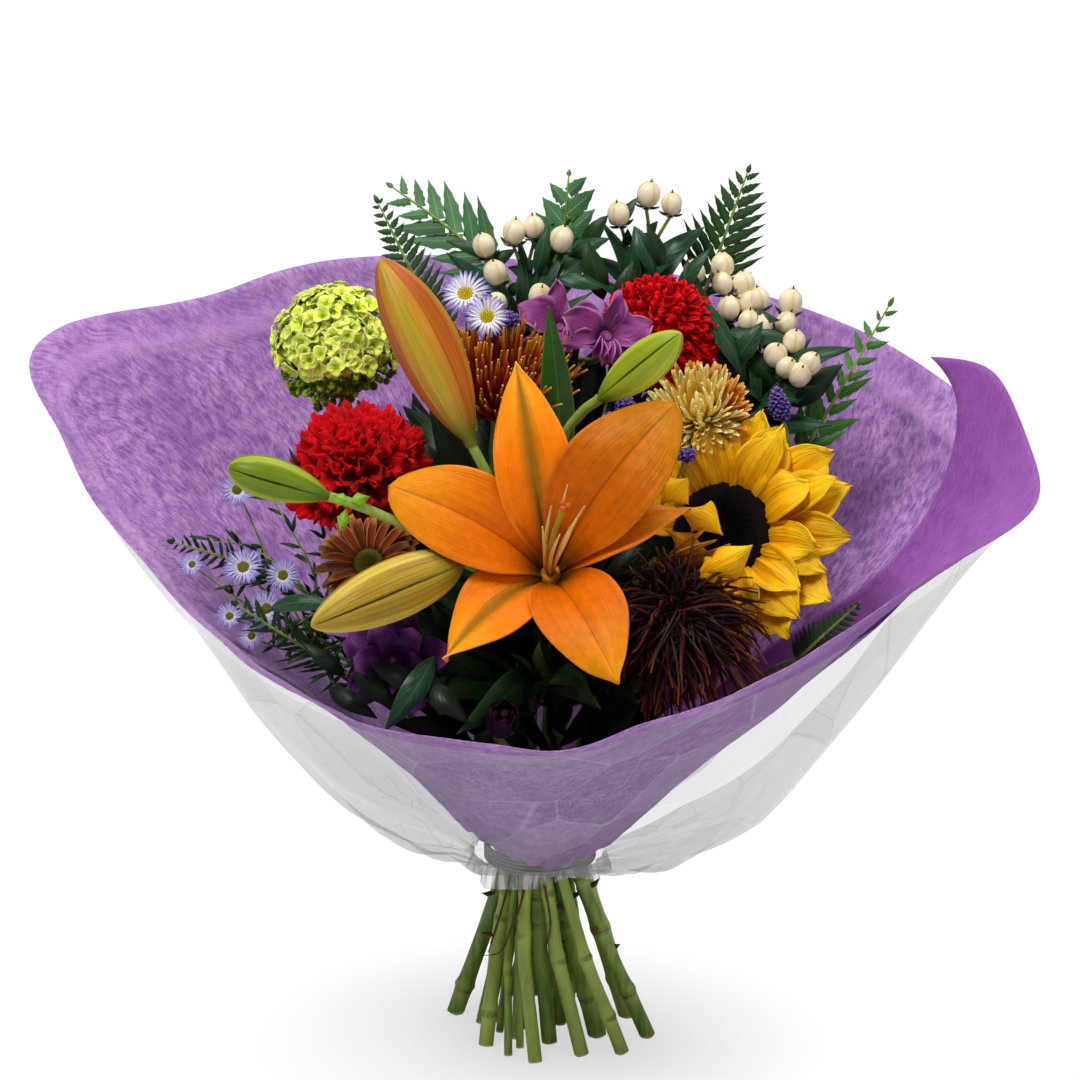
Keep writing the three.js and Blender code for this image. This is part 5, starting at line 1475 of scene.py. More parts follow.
# %% Berries
BERRIES = {
    "hypericum_left": [(-26, 28, 386), (-21, 24, 374), (-20, 14, 362), (0, 12, 366), (-12, 34, 391),
                       (-3, 36, 393), (10, 32, 388)],
    "hypericum_mid": [(37, 46, 397), (51, 52, 405), (62, 50, 401)],
    "hypericum_right": [
        (73, 46, 369), (86, 46, 372), (86, 40, 365), (96, 42, 364), (89, 36, 354), (103, 38, 358),
        (98, 40, 356), (98, 30, 349), (104, 30, 347), (118, 40, 356), (116, 36, 347), (119, 24, 341),
        (110, 18, 336), (115, 14, 331), (121, 12, 328), (126, 14, 333)],
}
SPRAY_LEAVES = {  # tip, half breadth
    "hypericum_left": [((26, 40, 380), 8), ((6, 20, 350), 7), ((-44, 24, 384), 6), ((-30, 12, 350), 6),
                       ((-10, 44, 388), 6), ((16, 44, 392), 7), ((-34, 34, 372), 7), ((12, 10, 360), 6),
                       ((-6, 6, 352), 7), ((24, 20, 366), 7)],
    "hypericum_mid": [((78, 60, 388), 7), ((22, 46, 378), 7), ((60, 34, 376), 8), ((36, 38, 366), 9),
                      ((28, 52, 394), 7), ((44, 44, 388), 6), ((70, 48, 380), 7), ((20, 30, 372), 7),
                      ((52, 50, 390), 5)],
    "hypericum_right": [((146, 10, 342), 7), ((128, 34, 340), 7), ((86, 22, 338), 6), ((120, 4, 318), 8),
                        ((94, 12, 322), 7), ((72, 34, 356), 6), ((104, 20, 334), 6), ((112, 8, 310), 8),
                        ((132, 16, 322), 7), ((84, 8, 322), 7), ((96, 26, 342), 6), ((136, 4, 306), 7)],
}
EGG = [0.3, 0.66, 0.86, 0.96, 1.0, 0.97, 0.86, 0.64, 0.3]


def berry(bm, at, out_way, size, seed):
    """An egg with three faint seams, its dark tip and its five sepals."""
    line = [Vector((0, 0, (-6.2 + 12.6 * k / 18) * size)) for k in range(19)]
    made = tube(bm, line, [5.5 * size * r for r in EGG], 24,
                lambda u, v: 0.7 - 0.5 * abs(math.cos(3 * math.pi * u)) ** 12,
                lambda angle, v: 1 - 0.06 * abs(math.cos(1.5 * angle)) ** 9)
    made += tube(bm, [Vector((0, 0, z * size)) for z in (6.0, 6.8, 8.2)], [0.7, 0.45, 0.2], 5, skin=2)
    for i in range(5):
        made += petal(bm, i * 2 * math.pi / 5, (1.2, -6.4 * size), 6.6 * size, [-6, 24, 60],
                      [0.8, 1.9, 2.1, 1.4, 0.1], 5, curl=0.5, across=3, skin=1)
    put(bm, made, at, out_way, seed)


for seed, (name, places) in enumerate(BERRIES.items()):
    fruit, stalks = new_form(), new_form()
    stem_tube(stalks, name, 60 + seed)
    axis = Vector(FLOWERS[name][1]).normalized()
    end = Vector(FLOWERS[name][0])
    for i, place_of in enumerate(places):
        at = Vector(place_of)
        joint = end - axis * (2 + 1.4 * (i % 10))
        lean = ((at - joint).normalized() + Vector((0.3 * math.sin(i * 2.1), -0.2, 0.6))).normalized()
        berry(fruit, at, lean, 0.98 + 0.07 * math.sin(i * 2.3), i)
        fork_at = joint.lerp(at, 0.6) + Vector((2 * math.sin(i * 2), 2, -2.5))
        tube(stalks, smooth([joint, fork_at, at - lean * 6], 12), [1.1, 0.9, 0.8], 6, 0.25)
        leaf_end = fork_at + Vector((8 * math.sin(i * 2.6), -5, 7 + 3 * math.cos(i)))
        leaf(stalks, fork_at, leaf_end, (0, -0.8, 0.6), 2.6, steps=8, across=4, tone=0.5, bend=0.2)
    for i, (tip, half) in enumerate(SPRAY_LEAVES[name]):
        leaf(stalks, end - axis * (6 + 2.4 * i), tip, (0.3 * math.sin(i * 2), -0.7, 0.7), half, bend=0.18,
             across=8, tone=0.2 + 0.08 * i, twist=0.5 * math.sin(i * 2), teeth=0.8 * (i % 3 == 0))
    settle(fruit, name + "_berries", [BERRY, SPRAY_LEAF, BERRY_TIP], "cream_berry", name, crease=60)
    settle(stalks, name + "_stalks", [STEM, SPRAY_LEAF], "green_stem", name, crease=60)

# %% [markdown]
# Statice is a short spike of tiny violet florets. A few more tufts of it show between the blooms.

# %% Statice
def violet_tuft(bm, at, axis, long, radius, count, seed, skin=1):
    """A short spike of tiny violet florets."""
    draw = random.Random(seed)
    at, axis = Vector(at), Vector(axis).normalized()
    for i in range(count):
        share = i / count
        made = []
        for p in range(4):
            made += petal(bm, p * 1.57, (0.2, 0), 3.0, [70, 40, 10], [0.3, 0.9, 1.0, 0.5], 3, across=2,
                          skin=skin, tone=draw.random())
        out_way = Vector((math.cos(i * GOLDEN), math.sin(i * GOLDEN), 0.3 + share))
        flat = Vector((out_way.x, out_way.y, 0)) * radius * math.sin(math.pi * min(share * 0.9 + 0.12, 1))
        put(bm, made, at + axis * (long * share) + flat, out_way, i)


bm = new_form()
stem_tube(bm, "statice", 70)
violet_tuft(bm, (112.2, -1.8, 311), FLOWERS["statice"][1], 14, 2.6, 60, 1)
settle(bm, "statice_spike", [STEM, STATICE], "violet_spike", "statice", thick=0.25)

TUFTS = [  # place, length
    ((38, -24, 322), 7), ((31, -22, 328), 8), ((66, -38, 302), 6), ((30, -30, 316), 6), ((-14, -18, 360), 6),
]
bm = new_form()
for i, (at, long) in enumerate(TUFTS):
    violet_tuft(bm, at, (0.2, -0.6, 0.7), long, 2.0, 20, i + 10, 0)
    tube(bm, smooth([at, (at[0] * 0.8, at[1] + 14, at[2] - 40)], 6), 0.6, 5, skin=1)
settle(bm, "statice_bits", [STATICE, STEM], "violet_spike", thick=0.25)

# %% [markdown]
# ## Fern fronds
# A frond is a rib with pointed leaflets down both sides, each leaflet toothed along its edges. The
# leaflets shorten towards the tip and lean forward. The two fronds at the back have broader leaflets.

# %% Ferns
FRONDS = {
    "fern_left": {"tip": (-78, 48, 406), "half": 17, "pairs": 17, "skin": FERN},
    "fern_back": {"tip": (-74, 84, 404), "half": 26, "pairs": 6, "forward": 1.0, "broad": 1.05, "wild": 0.3,
                  "skin": FERN_PALE},
    "fern_centre": {"tip": (14, 76, 412), "half": 20, "pairs": 4, "forward": 1.0, "broad": 1.6,
                    "skin": FERN_PALE},
    "fern_tall": {"tip": (100, 70, 416), "half": 24, "pairs": 10, "forward": 0.9, "skin": FERN},
    "fern_right": {"tip": (168, 50, 356), "half": 18, "pairs": 9, "forward": 1.0, "wild": 0.6,
                   "skin": FERN_LIGHT},
    "fern_low_right": {"tip": (143, -86, 250), "half": 11, "pairs": 13, "skin": FERN},
    "fern_low_left": {"tip": (-138, -90, 252), "half": 18, "pairs": 17, "broad": 0.5, "wild": 0.9,
                      "skin": DARK_LEAF},
    "fern_far_left": {"tip": (-172, -34, 262), "half": 15, "pairs": 16, "broad": 0.5, "wild": 0.9,
                      "skin": DARK_LEAF},
}


def frond(bm, root, tip, face, half, pairs, forward=0.55, arch=0.1, broad=1.0, seed=0, wild=0.0):
    draw = random.Random(seed)
    way = tip - root
    length = way.length
    side = way.cross(Vector(face)).normalized()
    out_way = side.cross(way).normalized()

    def place(x, y):
        lifted = arch * length * math.sin(math.pi * y / length) - 0.12 * abs(x)
        return root + way * (y / length) + side * x + out_way * lifted

    tube(bm, [place(0, length * k / 24) for k in range(25)], [1.0, 0.8, 0.6, 0.3], 6, skin=1)
    step = length / (pairs + 0.8)
    for k in range(pairs):
        t = (k + 0.5) / (pairs + 0.8)
        full = half * (1 - t) ** 0.75 * (0.75 + 1.25 * t if t < 0.2 else 1)
        for sign in (-1, 1):
            reach = full * draw.uniform(0.86 - 0.5 * wild, 1.06)
            y = t * length + sign * step * 0.22
            slant = forward + wild * draw.uniform(-0.3, 1.1)
            start, end = place(sign * 0.5, y), place(sign * (1.1 + reach), y + reach * slant)
            end += out_way * (reach * wild * draw.uniform(-0.5, 0.6))
            wide = broad * min(step * 0.34, reach * 0.24) + 0.35

            def width(v, wide=wide):
                lobed = 0.86 + 0.14 * math.cos(v * 50)
                return wide * (0.5 + 1.7 * v * (1 - v) + 0.4 * (1 - v)) * (1 - v**3) * lobed

            def teeth(c, v, wide=wide):
                return wide * 0.7 * ((v * 8) % 1) * abs(c) ** 3 * (1 - v)

            droop = out_way * (-reach * draw.uniform(0.02, 0.16))
            bend = way.normalized() * (reach * 0.1)
            line = [start.lerp(end, j / 12) + droop * (j / 12) ** 2 + bend * (j / 12) ** 2 for j in range(13)]
            across_way = (end - start).cross(out_way).normalized()
            blade(bm, line, across_way, width, curl=draw.uniform(0.2, 0.6), across=4, reach=teeth,
                  tone=draw.uniform(0.1, 0.9), twist=draw.uniform(-0.3, 0.3))
    leaf(bm, place(0, length * 0.93), place(0, length * 1.0), face, 1.2, steps=5, across=2, skin=0)


for seed, (name, shape) in enumerate(FRONDS.items()):
    bm = new_form()
    shape = dict(shape)
    skin = shape.pop("skin")
    tip = Vector(shape.pop("tip"))
    at, axis = Vector(FLOWERS[name][0]), Vector(FLOWERS[name][1]).normalized()
    frond(bm, at - axis * 2, tip, (0, -0.9, 0.4), seed=seed + 80, **shape)
    before = set(bm.faces)
    stem_tube(bm, name, 80 + seed)
    for face in bm.faces:
        if face not in before:
            face.material_index = 1
    settle(bm, name + "_leaflets", [skin, STEM], "fern_green", name)

# %% [markdown]
# ## Leaves deep in the bunch
# The gaps between the flowers are filled with leaves, half of them in a near-black finish that paints the
# shade deep in the bunch. They grow from the middle of the bunch and end below the blooms, so the blooms
# stay in front of them. Their places come from an even spiral.

# %% Inner foliage
FOLIAGE = 210
DEPTH = {"middle": (-4, -26), "reach": (96, 88), "back_height": 312, "slope": 0.6, "thickness": 62}
draw = random.Random(31)
# the first half of the leaves takes the near-black leaf, which paints the shade deep in the bunch
for number, skin_name in enumerate(("deep", "dark")):
    bm = new_form()
    for i in range(number, FOLIAGE, 2):
        share = math.sqrt((i + 0.5) / FOLIAGE)
        x = DEPTH["middle"][0] + DEPTH["reach"][0] * share * math.cos(i * GOLDEN)
        y = DEPTH["middle"][1] + DEPTH["reach"][1] * share * math.sin(i * GOLDEN)
        top = DEPTH["back_height"] + DEPTH["slope"] * y - 0.16 * abs(x)
        tip = Vector((x, y, top - 8 - DEPTH["thickness"] * draw.random() ** 1.5))
        root = Vector((x * 0.45, y * 0.45 - 8, tip.z - draw.uniform(36, 58)))
        face = Vector((0.4 * math.sin(i), -0.7, 0.8))
        leaf(bm, root, tip, face, draw.uniform(4.5, 9), bend=draw.uniform(0.1, 0.25), steps=10, across=4,
             tone=draw.random(), twist=draw.uniform(-0.8, 0.8), skin=0, teeth=0.8 * (i % 4 == 0))
    settle(bm, "foliage_" + skin_name, PAINTED_SHADE_LEAF if number == 0 else DARK_LEAF, "fern_green")

# %% [markdown]
# Higher up, behind the blooms and among the berries, stand more leaves. Those that show above the rim or in
# front of the sheet are placed one by one, by where the photo shows them. Others fill the gaps between, most
# of them in the near-black leaf that paints the shade there.

# %% High leaves
HIGH_LEAVES = [  # root, tip, half breadth
    ((-20, 34, 378), (-44, 34, 387), 5), ((-26, 30, 374), (-11, 30, 384), 5),
    ((13, 40, 378), (33, 40, 387), 6), ((30, 34, 358), (21, 38, 388), 8),
    ((8, 30, 370), (30, 30, 365), 6), ((20, 44, 380), (32, 44, 397), 6),
    ((36, 48, 390), (46, 48, 405), 5), ((8, 36, 374), (-7, 36, 392), 7),
    ((44, 44, 392), (55, 36, 368), 6), ((75, 30, 350), (69, 36, 378), 7),
    ((86, 26, 344), (119, 26, 342), 8), ((104, 16, 310), (129, 20, 329), 7),
    ((94, 30, 352), (113, 30, 350), 6), ((118, 28, 308), (143, 28, 329), 9),
    ((73, 20, 364), (96, 16, 324), 7), ((97, 24, 338), (114, 20, 315), 7),
    ((-2, 30, 372), (4, 34, 396), 5), ((58, 40, 372), (50, 40, 394), 6),
    ((64, 34, 360), (80, 34, 384), 6), ((36, 30, 350), (44, 34, 378), 8),
    ((90, 20, 330), (104, 20, 352), 7),
]
FILL = 100
bm = new_form()
for i, (root, tip, half) in enumerate(HIGH_LEAVES):
    leaf(bm, root, tip, (0.3 * math.sin(i * 2), -0.8, 0.6), half * 0.72, bend=0.14, steps=14, across=6,
         skin=i % 2, tone=draw.random(), twist=0.5 * math.sin(i * 3), teeth=0.9 * (i % 3 != 1), curl=0.3)
for i in range(FILL):
    x, y = draw.uniform(-86, 112), draw.uniform(2, 44)
    tip = Vector((x, y, 356 - 0.36 * abs(x - 20) - 0.3 * y - draw.uniform(0, 34)))
    root = Vector((x * 0.62, y * 0.6, tip.z - draw.uniform(40, 56)))
    leaf(bm, root, tip, (math.sin(i), -0.7, 0.5), draw.uniform(4.5, 8), bend=draw.uniform(0.08, 0.2),
         steps=10, across=4, skin=2 - (i % 4 == 0), tone=draw.random(), twist=draw.uniform(-0.7, 0.7),
         teeth=0.8 * (i % 3 == 0))
settle(bm, "high_leaves", [SPRAY_LEAF, DARK_LEAF, PAINTED_SHADE_LEAF], "fern_green")

# %% [markdown]
# Low on the left, leaves hang in front of the purple bloom, so that only its upper petals show. Most of them
# take the near-black leaf that paints the shade there.

# %% Low leaves
LOW_LEAVES = [  # root, tip, half breadth
    ((-82, -118, 229), (-60, -126, 212), 8), ((-74, -120, 233), (-47, -124, 217), 8),
    ((-94, -112, 219), (-71, -122, 208), 7), ((-58, -116, 232), (-41, -124, 215), 8),
    ((-46, -120, 237), (-68, -134, 206), 9), ((-86, -106, 222), (-106, -104, 238), 6),
    ((-90, -112, 258), (-121, -96, 249), 6), ((-66, -120, 226), (-84, -122, 214), 7),
    ((-50, -124, 226), (-30, -134, 210), 8),
]
bm = new_form()
for i, (root, tip, half) in enumerate(LOW_LEAVES):
    leaf(bm, root, tip, (0.4 * math.sin(i * 2), -0.8, 0.6), half * 0.66, bend=0.2, steps=16, across=6,
         skin=0 if i in (4, 6) else 1, tone=draw.random(), twist=0.5 * math.sin(i * 3), curl=0.4)
settle(bm, "low_leaves", [SPRAY_LEAF, PAINTED_SHADE_LEAF], "fern_green")

# %% [markdown]
# Dried leaf stalks and a few withered tendrils cling to the cut stems.

# %% Dry tendrils
TENDRILS = [
    [(-6, -19, 92), (-9, -22.5, 76), (-14, -23.5, 62), (-19, -23, 50), (-28, -19, 46)],
    [(-14, -12, 88), (-17, -14.5, 74), (-21, -16, 60), (-25, -20, 48)],
    [(2, -19.5, 84), (5, -25, 66), (3, -27.5, 54)],
]
SPURS = [  # stem, height, the way it points, length
    ("sunflower", 72, (0.5, -0.6, 0.8), 9), ("sunflower", 40, (0.6, -0.6, 0.5), 6),
    ("lily", 66, (-0.6, -0.6, 0.6), 8), ("golden_mum", 62, (0.8, -0.5, 0.6), 10),
    ("carnation", 52, (-0.7, -0.6, 0.4), 8), ("orchid", 44, (0.5, -0.8, 0.5), 7),
    ("pompon", 70, (0.7, -0.6, 0.6), 9), ("dark_mum", 58, (-0.5, -0.8, 0.5), 7),
    ("hydrangea", 64, (-0.6, -0.7, 0.3), 8),
]
bm = new_form()
for i, points in enumerate(TENDRILS):
    tube(bm, smooth(points, 26), [0.7, 0.5, 0.45, 0.2], 6, 0.2 + 0.12 * i,
         lambda angle, v: 1 + 0.2 * math.sin(v * 40) + 0.15 * math.cos(angle * 2))
for name, height, way, long in SPURS:
    root = min(smooth(STEM_LINES[name], 200), key=lambda p, height=height: abs(p.z - height))
    way = Vector(way).normalized()
    leaf(bm, root + way * 3, root + way * (4 + long), (0, -1, 0.2), 1.7, fold=0.6, bend=0.25,
         steps=10, across=4,
         skin=0, curl=0.9, tone=0.4)
settle(bm, "dry_tendrils", DRY, "green_stem")

# %% [markdown]
# ## The wrap
# The purple sheet is a non-woven cloth, cut square and rolled round the bunch from a free corner on the
# right. Its rim runs through the same points as the solid's rim. Between the tie and the rim it bellies
# out a little, with fine pleats where it is gathered and soft dents higher up. One of its corners points
# down at the front of the tie, so above the tie its lower edge runs down to a point there.

# %% Rim of the sheet
RIM = [
    (186, 14, 340), (209, 8, 333), (226, -12, 303), (224, -45, 287), (192, -78, 270), (158, -105, 256),
    (112, -140, 240), (68, -160, 228), (9, -171, 214), (-63, -155, 215), (-105, -130, 222), (-157, -82, 241),
    (-202, -28, 275), (-224, 2, 299), (-239, 30, 332), (-228, 52, 341), (-159, 98, 346), (-126, 114, 354),
    (-87, 128, 357), (10, 140, 352), (70, 136, 346), (153, 105, 328), (192, 75, 311), (216, 36, 297),
    (220, 6, 287),
]


def rim_points(points, steps=24):
    """A smooth line through points that don't lie evenly: each stretch bends by its neighbours' lengths."""
    points = [Vector(p) for p in points]
    points = [2 * points[0] - points[1], *points, 2 * points[-1] - points[-2]]
    line = []
    for a, b, c, d in zip(points, points[1:], points[2:], points[3:]):
        first, second, third = ((q - p).length ** 0.5 for p, q in ((a, b), (b, c), (c, d)))
        leave = ((b - a) / first - (c - a) / (first + second) + (c - b) / second) * second
        arrive = ((c - b) / second - (d - b) / (second + third) + (d - c) / third) * second
        for k in range(steps):
            t = k / steps
            line.append(b * (2 * t**3 - 3 * t**2 + 1) + leave * (t**3 - 2 * t**2 + t)
                        + c * (3 * t**2 - 2 * t**3) + arrive * (t**3 - t**2))
    return line + [points[-2]]


RIM_LINE = rim_points(RIM)
RIM_REACH = [0.0]
for p, q in zip(RIM_LINE, RIM_LINE[1:]):
    RIM_REACH.append(RIM_REACH[-1] + (q - p).length)


def rim_at(s):
    """The rim's point a share s of the way along it."""
    reach = min(max(s, 0), 1) * RIM_REACH[-1]
    beyond = max(s - 1, 0) * RIM_REACH[-1]
    low, high = 0, len(RIM_REACH) - 1
    while high - low > 1:
        middle = (low + high) // 2
        low, high = (middle, high) if RIM_REACH[middle] <= reach else (low, middle)
    point = RIM_LINE[low].lerp(RIM_LINE[high], (reach - RIM_REACH[low]) / (RIM_REACH[high] - RIM_REACH[low]))
    return point + (RIM_LINE[high] - RIM_LINE[low]).normalized() * beyond


tie_low, tie_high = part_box("tie_band")
TIE_R = (tie_high.x - tie_low.x) * 500 - 2.5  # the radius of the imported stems
WRAP_R = TIE_R + 3.6
print("rim", round(RIM_REACH[-1]), "mm long, stems at the tie", round(2 * TIE_R), "mm across")


def foot_angle(s):
    """Where the sheet's lower edge is round the tie, in degrees."""
    return 22 - 372 * s


HOLLOW = [0, 0, 2, 1, 4, 9, 9, 6, 3, 2, 2, 2, 0]  # how far the sheet sags between tie and rim, along it


def wrap_point(s, v, off=0.0):
    """A point of the purple sheet: s runs along its rim, v up from the tie, and off is how far outside it."""
    rim = rim_at(s)
    angle = math.radians(foot_angle(s))
    radius = WRAP_R + 2.8 * s
    foot = Vector((radius * math.cos(angle), radius * math.sin(angle), WAIST))
    outward = Vector((-math.sin(angle), math.cos(angle), 0)).cross(rim - foot).normalized()
    pleat = 1.6 * math.sin(v * math.pi) * math.sin(s * 46)
    hollow = bow(HOLLOW, s) * math.sin(math.pi * max(v, 0) ** 0.8)
    return foot.lerp(rim, v) + outward * (pleat - hollow + off)


def crumple(point, scale, seed=0.0):
    """A smooth hollow-and-hill value from -1 to 1 at a point."""
    return noise.noise(point / scale + Vector((seed, seed * 2, -seed)))

# %% [markdown]
# The sheet is a grid over these points. It gains fine pleats at the tie, soft dents, two creases from its
# folding and a ruffled rim. Its skin is a felt of fibres, brighter on the free corner.

# %% Purple sheet
WRAP_COLUMNS, WRAP_ROWS = 300, 76
POINT_ANGLE = -74  # where round the tie the sheet's lower corner points down
POINT_RISE = 0.1
LAP = 0.028  # how far the hind end laps round the front one, as a share of the rim
bm = new_form()


def lowest_share(s):
    """How far up the lower edge lies: nothing at the corner and behind, most on the two sides."""
    away = abs((foot_angle(s) - POINT_ANGLE + 180) % 360 - 180)
    return POINT_RISE * min(away / 62, 1) ** 0.9 * min((180 - away) / 70, 1)


def sheet_point(u, v):
    lean = 0.075 * math.sin(math.pi * v) * v
    s = lean * (1 - u) + u * (1 + LAP * math.sin(math.pi * v))
    low = lowest_share(s)
    v = low + (1 - low) * v * (1 - 0.02 * math.exp(-s / 0.01))
    point = wrap_point(s, v)
    fine_pleats = 0.8 * math.sin(s * 2 * math.pi * 27 + 2 * math.sin(s * 17))
    gather = fine_pleats * max(1 - v * 2.4, 0) ** 1.2 * min(v * 30, 1)
    dents = 3.2 * crumple(point, 66, 3.0) * min(v * 3, 1) + 0.9 * crumple(point, 24, 8.0) * min(v * 4, 1)
    crease = -1.2 * math.exp(-(((v - 0.93) / 0.008) ** 2)) * (u > 0.3)
    crossed = -0.9 * math.exp(-(((v - 0.72 - 0.25 * math.sin(s * 9)) / 0.012) ** 2))
    rim = 1.4 * math.sin(s * 70 + 2 * math.sin(s * 23)) * max(v - 0.85, 0) / 0.15
    return wrap_point(s, v, gather + dents + crease + crossed + rim)


patch(bm, WRAP_COLUMNS, WRAP_ROWS, sheet_point)
nodes, given, out = group("non-woven skin", {"Light": WHITE, "Deep": WHITE, "Bright": WHITE})
across, along, _ = nodes.petal_axes()
warp = nodes.noise(nodes.place(), 28.0, 2.0)
strands = nodes.point(
    nodes.plus(nodes.times(across, 620.0), nodes.times(warp, 14.0)), nodes.times(along, 42.0)
)
fibres = nodes.noise(strands, 1.0, 4.0, 0.7)
mottle = nodes.noise(nodes.stretch(nodes.place(), (1.0, 1.0, 0.55)), 200.0, 4.0, 0.6)
clouds = nodes.noise(nodes.stretch(nodes.place(), (1.0, 1.0, 0.5)), 34.0, 3.0)
specks = nodes.noise(nodes.place(), 1100.0, 2.0)
both = nodes.plus(nodes.times(fibres, 0.6), nodes.times(mottle, 0.4))
colour = nodes.mix(nodes.span(both, 0.36, 0.66), given["Deep"], given["Light"])
colour = nodes.mix(nodes.span(clouds, 0.4, 0.7, 0.0, 0.45), colour, given["Deep"])
band = nodes.times(nodes.span(along, 0.905, 0.915), nodes.span(along, 0.93, 0.97, 1.0, 0.35))
colour = nodes.mix(nodes.times(band, 0.35), colour, given["Light"])
flap = nodes.span(across, 0.1, 0.22, 1.0, 0.0)
colour = nodes.mix(nodes.times(flap, 0.8), colour, given["Bright"])
shade = nodes.span(specks, 0.3, 0.7, 0.92, 1.06)
nodes.tree.links.new(nodes.mix(1.0, colour, shade, "MULTIPLY"), out["Colour"])
height = nodes.plus(nodes.times(fibres, 0.7), nodes.plus(mottle, nodes.times(specks, 0.4)))
nodes.tree.links.new(height, out["Height"])
NONWOVEN = finish(
    "purple non-woven", "non-woven skin",
    skin_values(light="CFA0DC", deep="8450A0", bright="9A48AE"),
    0.6, 0.0004, roughness=0.9, sheen_weight=0.15,
)
purple = settle(bm, "purple_sheet", NONWOVEN, "purple_nonwoven", "purple_wrap", thick=0.5)

# %% [markdown]
# The clear film goes round last. It is gathered into a collar under the tie, stands off slackly above it
# with sharp soft-edged facets, and lies against the purple sheet near the rim. What is seen of clear film
# is mostly its creases, so its see-through share changes along them, and they and the collar's gathers
# carry painted highlights.

# %% Clear film
FILM_COLUMNS, FILM_ROWS = 320, 90
COLLAR = 0.07  # share of the rows that lie below the tie
SLACK_LEFT = [2.2, 12, 25, 31, 33, 31, 26, 17, 8, 3]  # how far outside the sheet it stands, from tie to rim
SLACK_FRONT = [2.2, 8, 13, 16, 17, 16, 13, 9, 5, 2]
SLACK_RIGHT = [2.2, 18, 32, 38, 38, 33, 25, 16, 8, 3]
bm = new_form()


def slack_at(s, v):
    """The slack is widest on the two sides and least in front and behind."""
    front, left, right = (math.exp(-(((s - middle) / wide) ** 2)) for middle, wide in
                          ((0.28, 0.07), (0.42, 0.09), (0.15, 0.08)))
    rest = 0.25
    total = front + left + right + rest
    return (front * bow(SLACK_FRONT, v) + left * bow(SLACK_LEFT, v) + right * bow(SLACK_RIGHT, v)
            + rest * bow(SLACK_FRONT, v)) / total


def facet(s, v):
    """Flat fields between sharp folds that fan out of the tie."""
    fan = s * 19 + 0.5 * math.sin(s * 31) + 0.3 * math.sin(v * 5 + s * 12)
    saw = abs((fan % 1) - 0.5) * 2
    cross = s * 11 + v * 3.6 + 0.5 * math.sin(v * 7)
    other = abs((cross % 1) - 0.5) * 2
    return saw, other


def film_point(u, v):
    s = 0.045 + 0.925 * u
    fold = math.sin(s * 2 * math.pi * 11 + 3 * math.sin(s * 11))
    small = math.sin(s * 2 * math.pi * 29 + 2 * math.sin(s * 29))
    if v < COLLAR:
        share = 1 - v / COLLAR
        collar = wrap_point(s, 0)
        out_by = 2.2 + 0.4 * share + (0.9 + 3.4 * share) * (0.5 + 0.5 * fold) + 0.5 * small
        drop = 7.5 + 3.4 * math.sin(s * 19) * share
        wide = 1 + out_by / Vector((collar.x, collar.y)).length
        return Vector((collar.x * wide, collar.y * wide, WAIST - drop * share))
    v = (v - COLLAR) / (1 - COLLAR)
    front = math.cos(2 * math.pi * (s - 0.36))
    reach = 0.93 + 0.05 * (0.5 + 0.5 * front)
    saw, other = facet(s, v)
    depth = math.sin(math.pi * min(v * 1.3 + 0.04, 1)) * (1 - 0.6 * v)
    crush = (5.0 * saw - 2.4 + 3.0 * other + 1.0 * crumple(wrap_point(s, v), 30, 5.0)) * depth
    gather = (0.9 + 2.0 * v) * (0.5 + 0.5 * fold) * max(1 - v * 6, 0)
    return wrap_point(s, v * reach, max(slack_at(s, v) + crush, 1.6) + gather)


patch(bm, FILM_COLUMNS, FILM_ROWS, film_point)
nodes, _, out = group("film skin", {}, {**SKIN_OUTPUTS, "Cover": "NodeSocketFloat"})
across, along, _ = nodes.petal_axes()
wander = nodes.noise(nodes.place(), 14.0, 1.0)
panels = nodes.point(
    nodes.plus(nodes.times(across, 17.0), nodes.times(along, 2.0)),
    nodes.plus(nodes.times(along, 4.6), nodes.times(wander, 0.8)),
)


def fields_of(scale):
    """For panels of one size: how far the nearest fold is, and a value that the whole panel shares."""
    folds = nodes.add("ShaderNodeTexVoronoi", {"Vector": panels, "Scale": scale}, feature="DISTANCE_TO_EDGE")
    cells = nodes.add("ShaderNodeTexVoronoi", {"Vector": panels, "Scale": scale}, feature="F1")
    shared = nodes.add("ShaderNodeSeparateColor", {0: cells.outputs["Color"]}).outputs[0]
    return folds.outputs["Distance"], shared


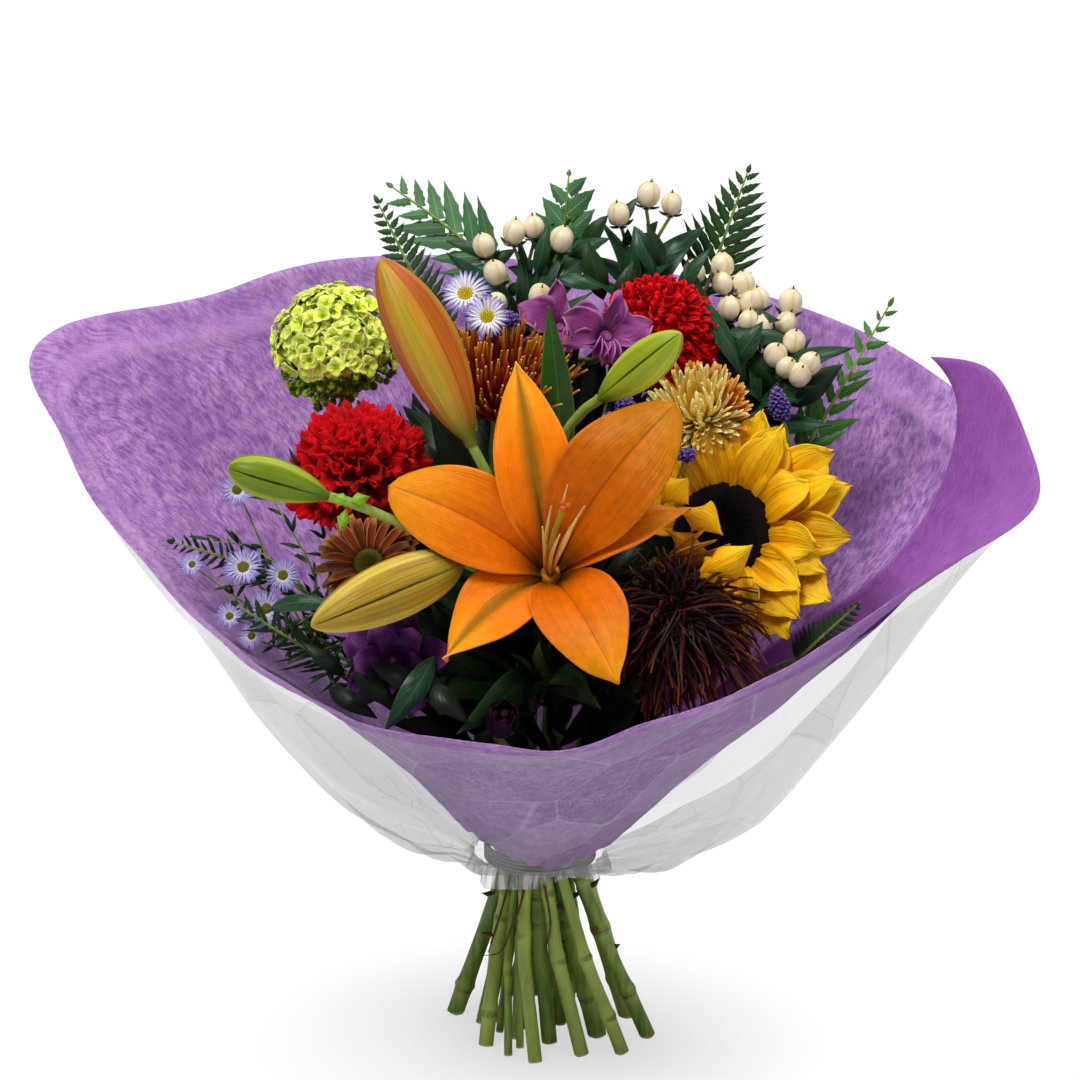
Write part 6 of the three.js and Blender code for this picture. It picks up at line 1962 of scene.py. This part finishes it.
to_fold, field = fields_of(1.0)
to_small_fold, small_field = fields_of(2.7)
low = nodes.span(along, 0.12, 0.4, 1.0, 0.15)
small_fold_highlight = nodes.times(nodes.span(to_small_fold, 0.0, 0.03, 0.8, 0.0), low)
crease = nodes.math("MAXIMUM", nodes.span(to_fold, 0.0, 0.016, 0.7, 0.0), small_fold_highlight)
smears = nodes.noise(nodes.stretch(nodes.place(), (1.0, 1.0, 0.4)), 26.0, 4.0, 0.6)
gather_highlights = nodes.noise(nodes.point(nodes.times(across, 60.0), nodes.times(along, 5.0)), 1.0, 3.0)
collar = nodes.span(along, 0.05, 0.13, 1.0, 0.0)
shade = nodes.plus(nodes.times(field, 0.5), nodes.times(smears, 0.5))
colour = nodes.mix(nodes.span(shade, 0.2, 0.8), ink("8C8F94"), ink("B2B5B9"))
# painted highlights along the creases
colour = nodes.mix(nodes.times(crease, 0.5), colour, ink("F0F2F4"))
# painted highlights on the collar's gathered folds
colour = nodes.mix(nodes.times(collar, nodes.span(gather_highlights, 0.42, 0.62)), colour, ink("F4F6F2"))
nodes.tree.links.new(colour, out["Colour"])
nodes.tree.links.new(nodes.plus(nodes.times(field, 0.6), nodes.times(smears, 0.4)),
                     out["Height"])
cover = nodes.plus(nodes.span(field, 0.0, 1.0, 0.23, 0.31), nodes.times(crease, 0.16))
cover = nodes.plus(cover, nodes.times(nodes.times(small_field, low), 0.12))
folds = nodes.times(collar, nodes.span(gather_highlights, 0.4, 0.6, -0.08, 0.4))
nodes.tree.links.new(nodes.plus(cover, folds), out["Cover"])
FILM = finish("clear film", "film skin", bump=0.3, reach=0.002, roughness=0.2, ior=1.45)
made = next(n for n in FILM.node_tree.nodes if n.type == "GROUP")
FILM.node_tree.links.new(made.outputs["Cover"], FILM.node_tree.nodes["Principled BSDF"].inputs["Alpha"])
film = settle(bm, "film_sheet", FILM, "clear_film", "clear_film", crease=16)

# %% [markdown]
# Five turns of twine hold the stems. The collar of the film nearly hides them, and their grey-green is
# painted to read as the stems' shade behind it.

# %% Tie
bm = new_form()
turns = 5
for k in range(turns):
    height = WAIST - 3.6 + 1.8 * k
    ring = [Vector(((TIE_R + 1.7) * math.cos(a), (TIE_R + 1.7) * math.sin(a), height + 0.3 * math.sin(a)))
            for a in (2 * math.pi * i / 64 for i in range(65))]
    tube(bm, ring, 0.85, 8)
# the twine's grey-green paints it as the stems' shade seen through the film
TWINE = buds_of("twine", "5A6254", "868E80", "9AA294", "AEB4A6", "9AA294", "9AA294", 0.85)
settle(bm, "tie_turns", TWINE, "tie", "tie_band")
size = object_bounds()
{"cad": [list(c) for c in cad_box], "visual": [list(c) for c in size]}
